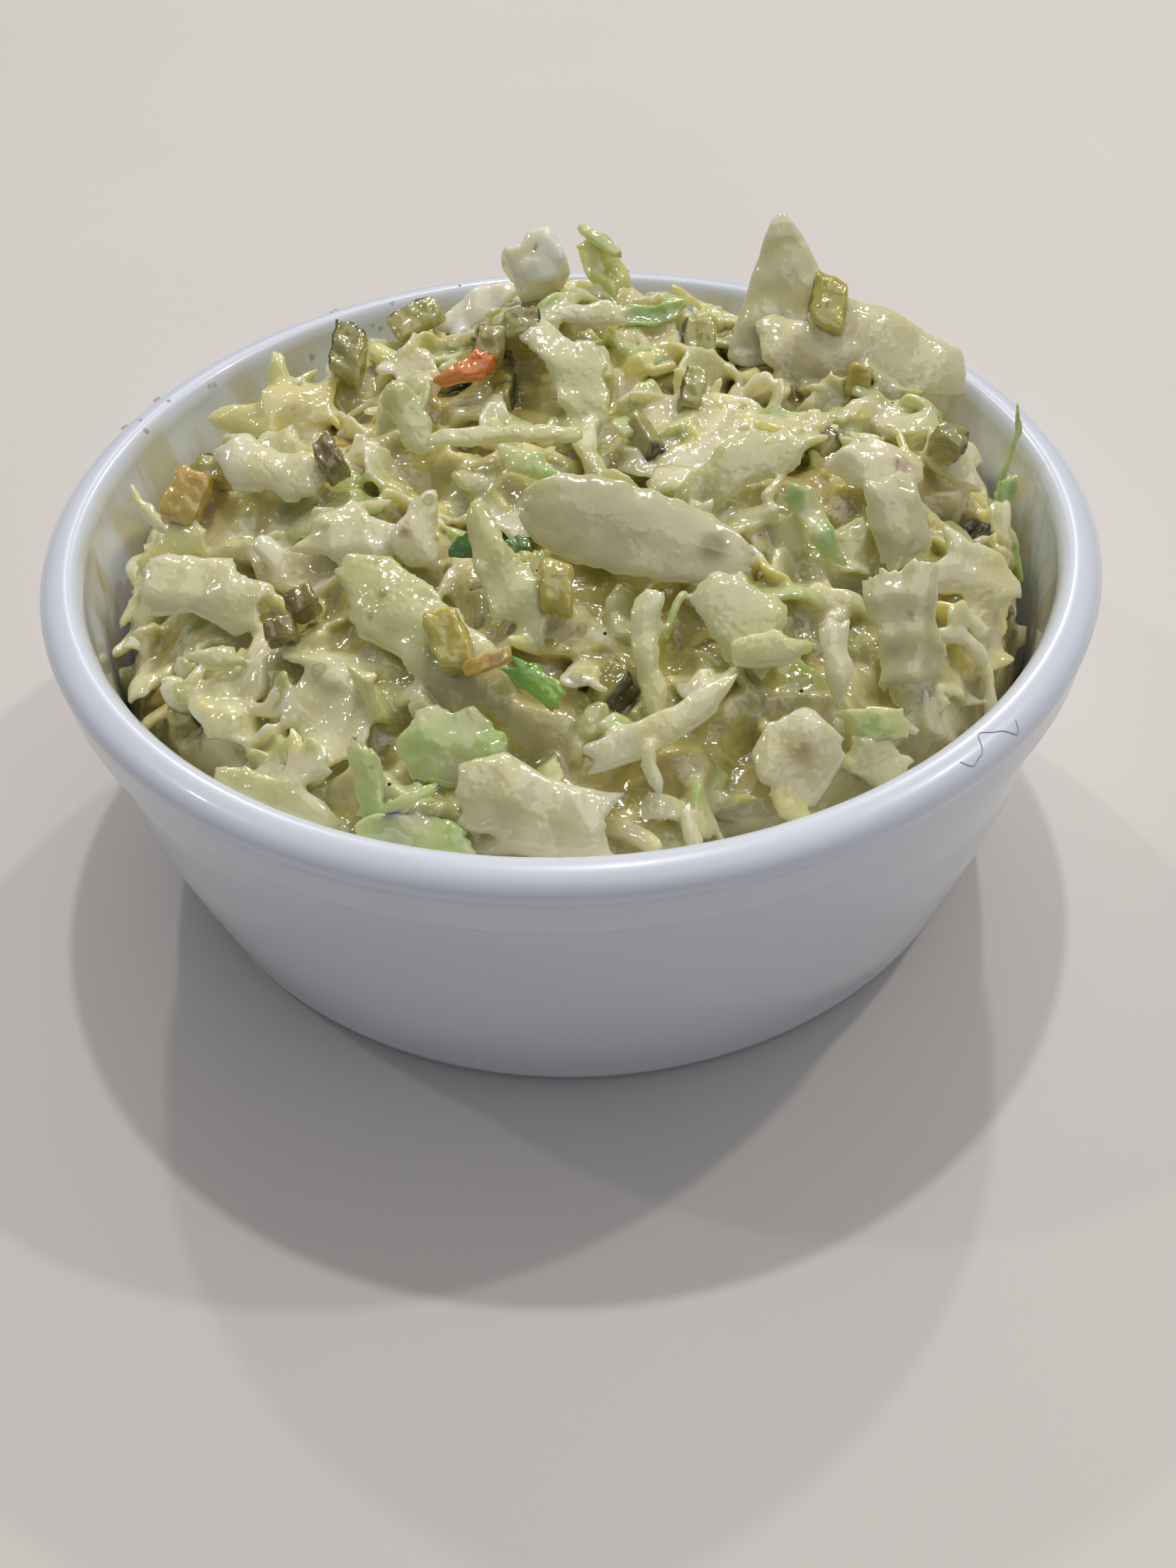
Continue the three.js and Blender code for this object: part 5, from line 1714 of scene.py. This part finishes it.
class ColeslawMakeSeasoning(bpy.types.Operator):
    """Strew pepper specks and bubbles over the dressing; lay drops and a stray fibre on the lip"""

    bl_idname = "coleslaw.make_seasoning"
    bl_label = "Pepper, bubbles, drops and fibre"

    def execute(self, context):
        seed = context.scene.coleslaw_slaw.seed
        for number, (name, under, where, look, values) in enumerate(GRAINS):
            patch = patch_of(bpy.data.objects[under].data, where)
            strewn(name, patch, plain_material(**look), dict(values, Seed=seed + number))
        fibre = fibre_mesh("lip_fibre")
        fibre.materials.append(plain_material("Fibre", "8C94AE", Roughness=0.6))
        piece = new_object("lip_fibre", fibre)
        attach(piece, ROOT)
        return {"FINISHED"}


# ---------------------------------------------------------------- the stage
# The camera: its place in metres, its turns in degrees, its sensor and lens in millimetres.
CAMERA_PLACE = (0.0, -0.1456, 0.1378)
CAMERA_YAW = 0.40
CAMERA_PITCH = 44.04
CAMERA_ROLL = -2.15
CAMERA_SENSOR = 24.0
CAMERA_FOCAL = 23.85
# Ceiling lights: the way to each from the bowl, its power in watts and its width in metres.
CEILING_LIGHTS = (
    ((2, 15.2, 40), 4.6, 0.05),
    ((17, 42, 40), 3.3, 0.05),
    ((-14, 42, 40), 2.5, 0.05),
    ((26, 14, 40), 3.4, 0.05),
    ((-32, 10, 40), 1.3, 0.05),
    ((0, 40, 40), 1.8, 1.3),
    ((8, 2, 40), 3.2, 1.5),
    ((18, -24, 40), 1.4, 1.2),
)
LIGHT_DISTANCE = 1.55  # metres
LIGHT_COLOUR = (1.0, 0.97, 0.93)
ROOM_COLOUR = (0.9, 0.95, 1.06, 1)
TABLE_RADIUS, TABLE_SIDES = 4000.0, 64
TABLE_HEIGHT = -0.02
TABLE_MOTTLE = 0.97


def add_camera():
    """The camera, turned level to the right by yaw, down by pitch and over by roll."""
    yaw, pitch, roll = np.radians([CAMERA_YAW, CAMERA_PITCH, CAMERA_ROLL])
    level = math.cos(pitch)
    ahead = np.array([math.sin(yaw) * level, math.cos(yaw) * level, -math.sin(pitch)])
    right = np.cross(ahead, (0, 0, 1))
    right /= np.linalg.norm(right)
    up = np.cross(right, ahead)
    right, up = (
        math.cos(roll) * right + math.sin(roll) * up,
        math.cos(roll) * up - math.sin(roll) * right,
    )
    data = bpy.data.cameras.new("camera")
    data.sensor_fit = "VERTICAL"
    data.sensor_height = CAMERA_SENSOR
    data.lens = CAMERA_FOCAL
    data.clip_start = 0.005
    camera = new_object("camera", data)
    turns = np.stack([right, up, -ahead], 1)
    rows = [(*row, place) for row, place in zip(turns, CAMERA_PLACE)]
    camera.matrix_world = Matrix([*rows, (0, 0, 0, 1)])
    bpy.context.scene.camera = camera


def add_light(name, towards, power, width):
    """A round lamp that shines on the bowl from some way off."""
    data = bpy.data.lights.new(name, "AREA")
    data.shape = "DISK"
    data.size = width
    data.energy = power
    data.color = LIGHT_COLOUR
    light = new_object(name, data)
    way = Vector(towards).normalized()
    turn = way.to_track_quat("Z", "Y").to_matrix().to_4x4()
    light.matrix_world = Matrix.Translation(way * LIGHT_DISTANCE) @ turn


def disc(radius, sides, height):
    """A flat disc."""
    angle = np.linspace(0, 2 * math.pi, sides, endpoint=False)
    rim = np.stack([radius * np.cos(angle), radius * np.sin(angle), np.full(sides, height)], -1)
    ring = 1 + np.arange(sides)
    triangles = np.stack([np.zeros(sides, int), ring, np.roll(ring, -1)], -1)
    return np.concatenate([[(0, 0, height)], rim]), [triangles]


def table_material(settings):
    """A pale, faintly mottled table top."""
    material, tree, shader = new_material("Table top")
    colour = np.array(settings.floor_colour)
    mottle = ramp_node(tree, noise_node(tree, object_place(tree), 9, 3.0), 0.2, 0.8)
    tree.links.new(mix_colour(tree, mottle, colour, colour * TABLE_MOTTLE), shader.inputs["Base Color"])
    set_values(shader, Roughness=0.45, IOR=1.35)
    return material


class ColeslawMakeStage(bpy.types.Operator):
    """Set the table top, the lights and the camera"""

    bl_idname = "coleslaw.make_stage"
    bl_label = "Stage"

    def execute(self, context):
        settings = context.scene.coleslaw_stage
        mesh = new_mesh("table_top", *disc(TABLE_RADIUS, TABLE_SIDES, TABLE_HEIGHT))
        mesh.materials.append(table_material(settings))
        floor = new_object("table_top", mesh)
        for number, (towards, share, width) in enumerate(CEILING_LIGHTS):
            add_light(f"ceiling_light_{number + 1}", towards, share * settings.light_power, width)
        world = bpy.data.worlds.new("room")
        world.use_nodes = True
        set_values(world.node_tree.nodes["Background"], Color=ROOM_COLOUR, Strength=settings.fill)
        context.scene.world = world
        context.scene.view_settings.view_transform = "Standard"
        add_camera()
        return {"FINISHED"}


class ColeslawPanel(bpy.types.Panel):
    """The steps that build the coleslaw"""

    bl_idname = "VIEW3D_PT_coleslaw"
    bl_label = "Coleslaw"
    bl_space_type = "VIEW_3D"
    bl_region_type = "UI"
    bl_category = "Coleslaw"

    def draw(self, context):
        for operator in OPERATORS:
            self.layout.operator(operator.bl_idname)
        for name in SETTINGS:
            group = getattr(context.scene, name)
            box = self.layout.box()
            for prop in group.bl_rna.properties:
                if prop.identifier not in ("rna_type", "name"):
                    box.prop(group, prop.identifier)


SETTINGS = {
    "coleslaw_bowl": ColeslawBowlSettings,
    "coleslaw_slaw": ColeslawSlawSettings,
    "coleslaw_stage": ColeslawStageSettings,
}
OPERATORS = (
    ColeslawMakeBowl,
    ColeslawMakeCabbage,
    ColeslawMakeGreens,
    ColeslawMakePickle,
    ColeslawMakeHerbs,
    ColeslawMakeDressing,
    ColeslawMakeSeasoning,
    ColeslawMakeStage,
)
CLASSES = (*SETTINGS.values(), *OPERATORS, ColeslawPanel)


def register():
    for cls in CLASSES:
        bpy.utils.register_class(cls)
    for name, group in SETTINGS.items():
        setattr(bpy.types.Scene, name, bpy.props.PointerProperty(type=group))


def unregister():
    for name in SETTINGS:
        delattr(bpy.types.Scene, name)
    for cls in reversed(CLASSES):
        bpy.utils.unregister_class(cls)


def main():
    register()
    bpy.ops.coleslaw.make_bowl()
    bpy.ops.coleslaw.make_cabbage()
    bpy.ops.coleslaw.make_greens()
    bpy.ops.coleslaw.make_pickle()
    bpy.ops.coleslaw.make_herbs()
    bpy.ops.coleslaw.make_dressing()
    bpy.ops.coleslaw.make_seasoning()
    bpy.ops.coleslaw.make_stage()


if __name__ == "__main__":
    main()
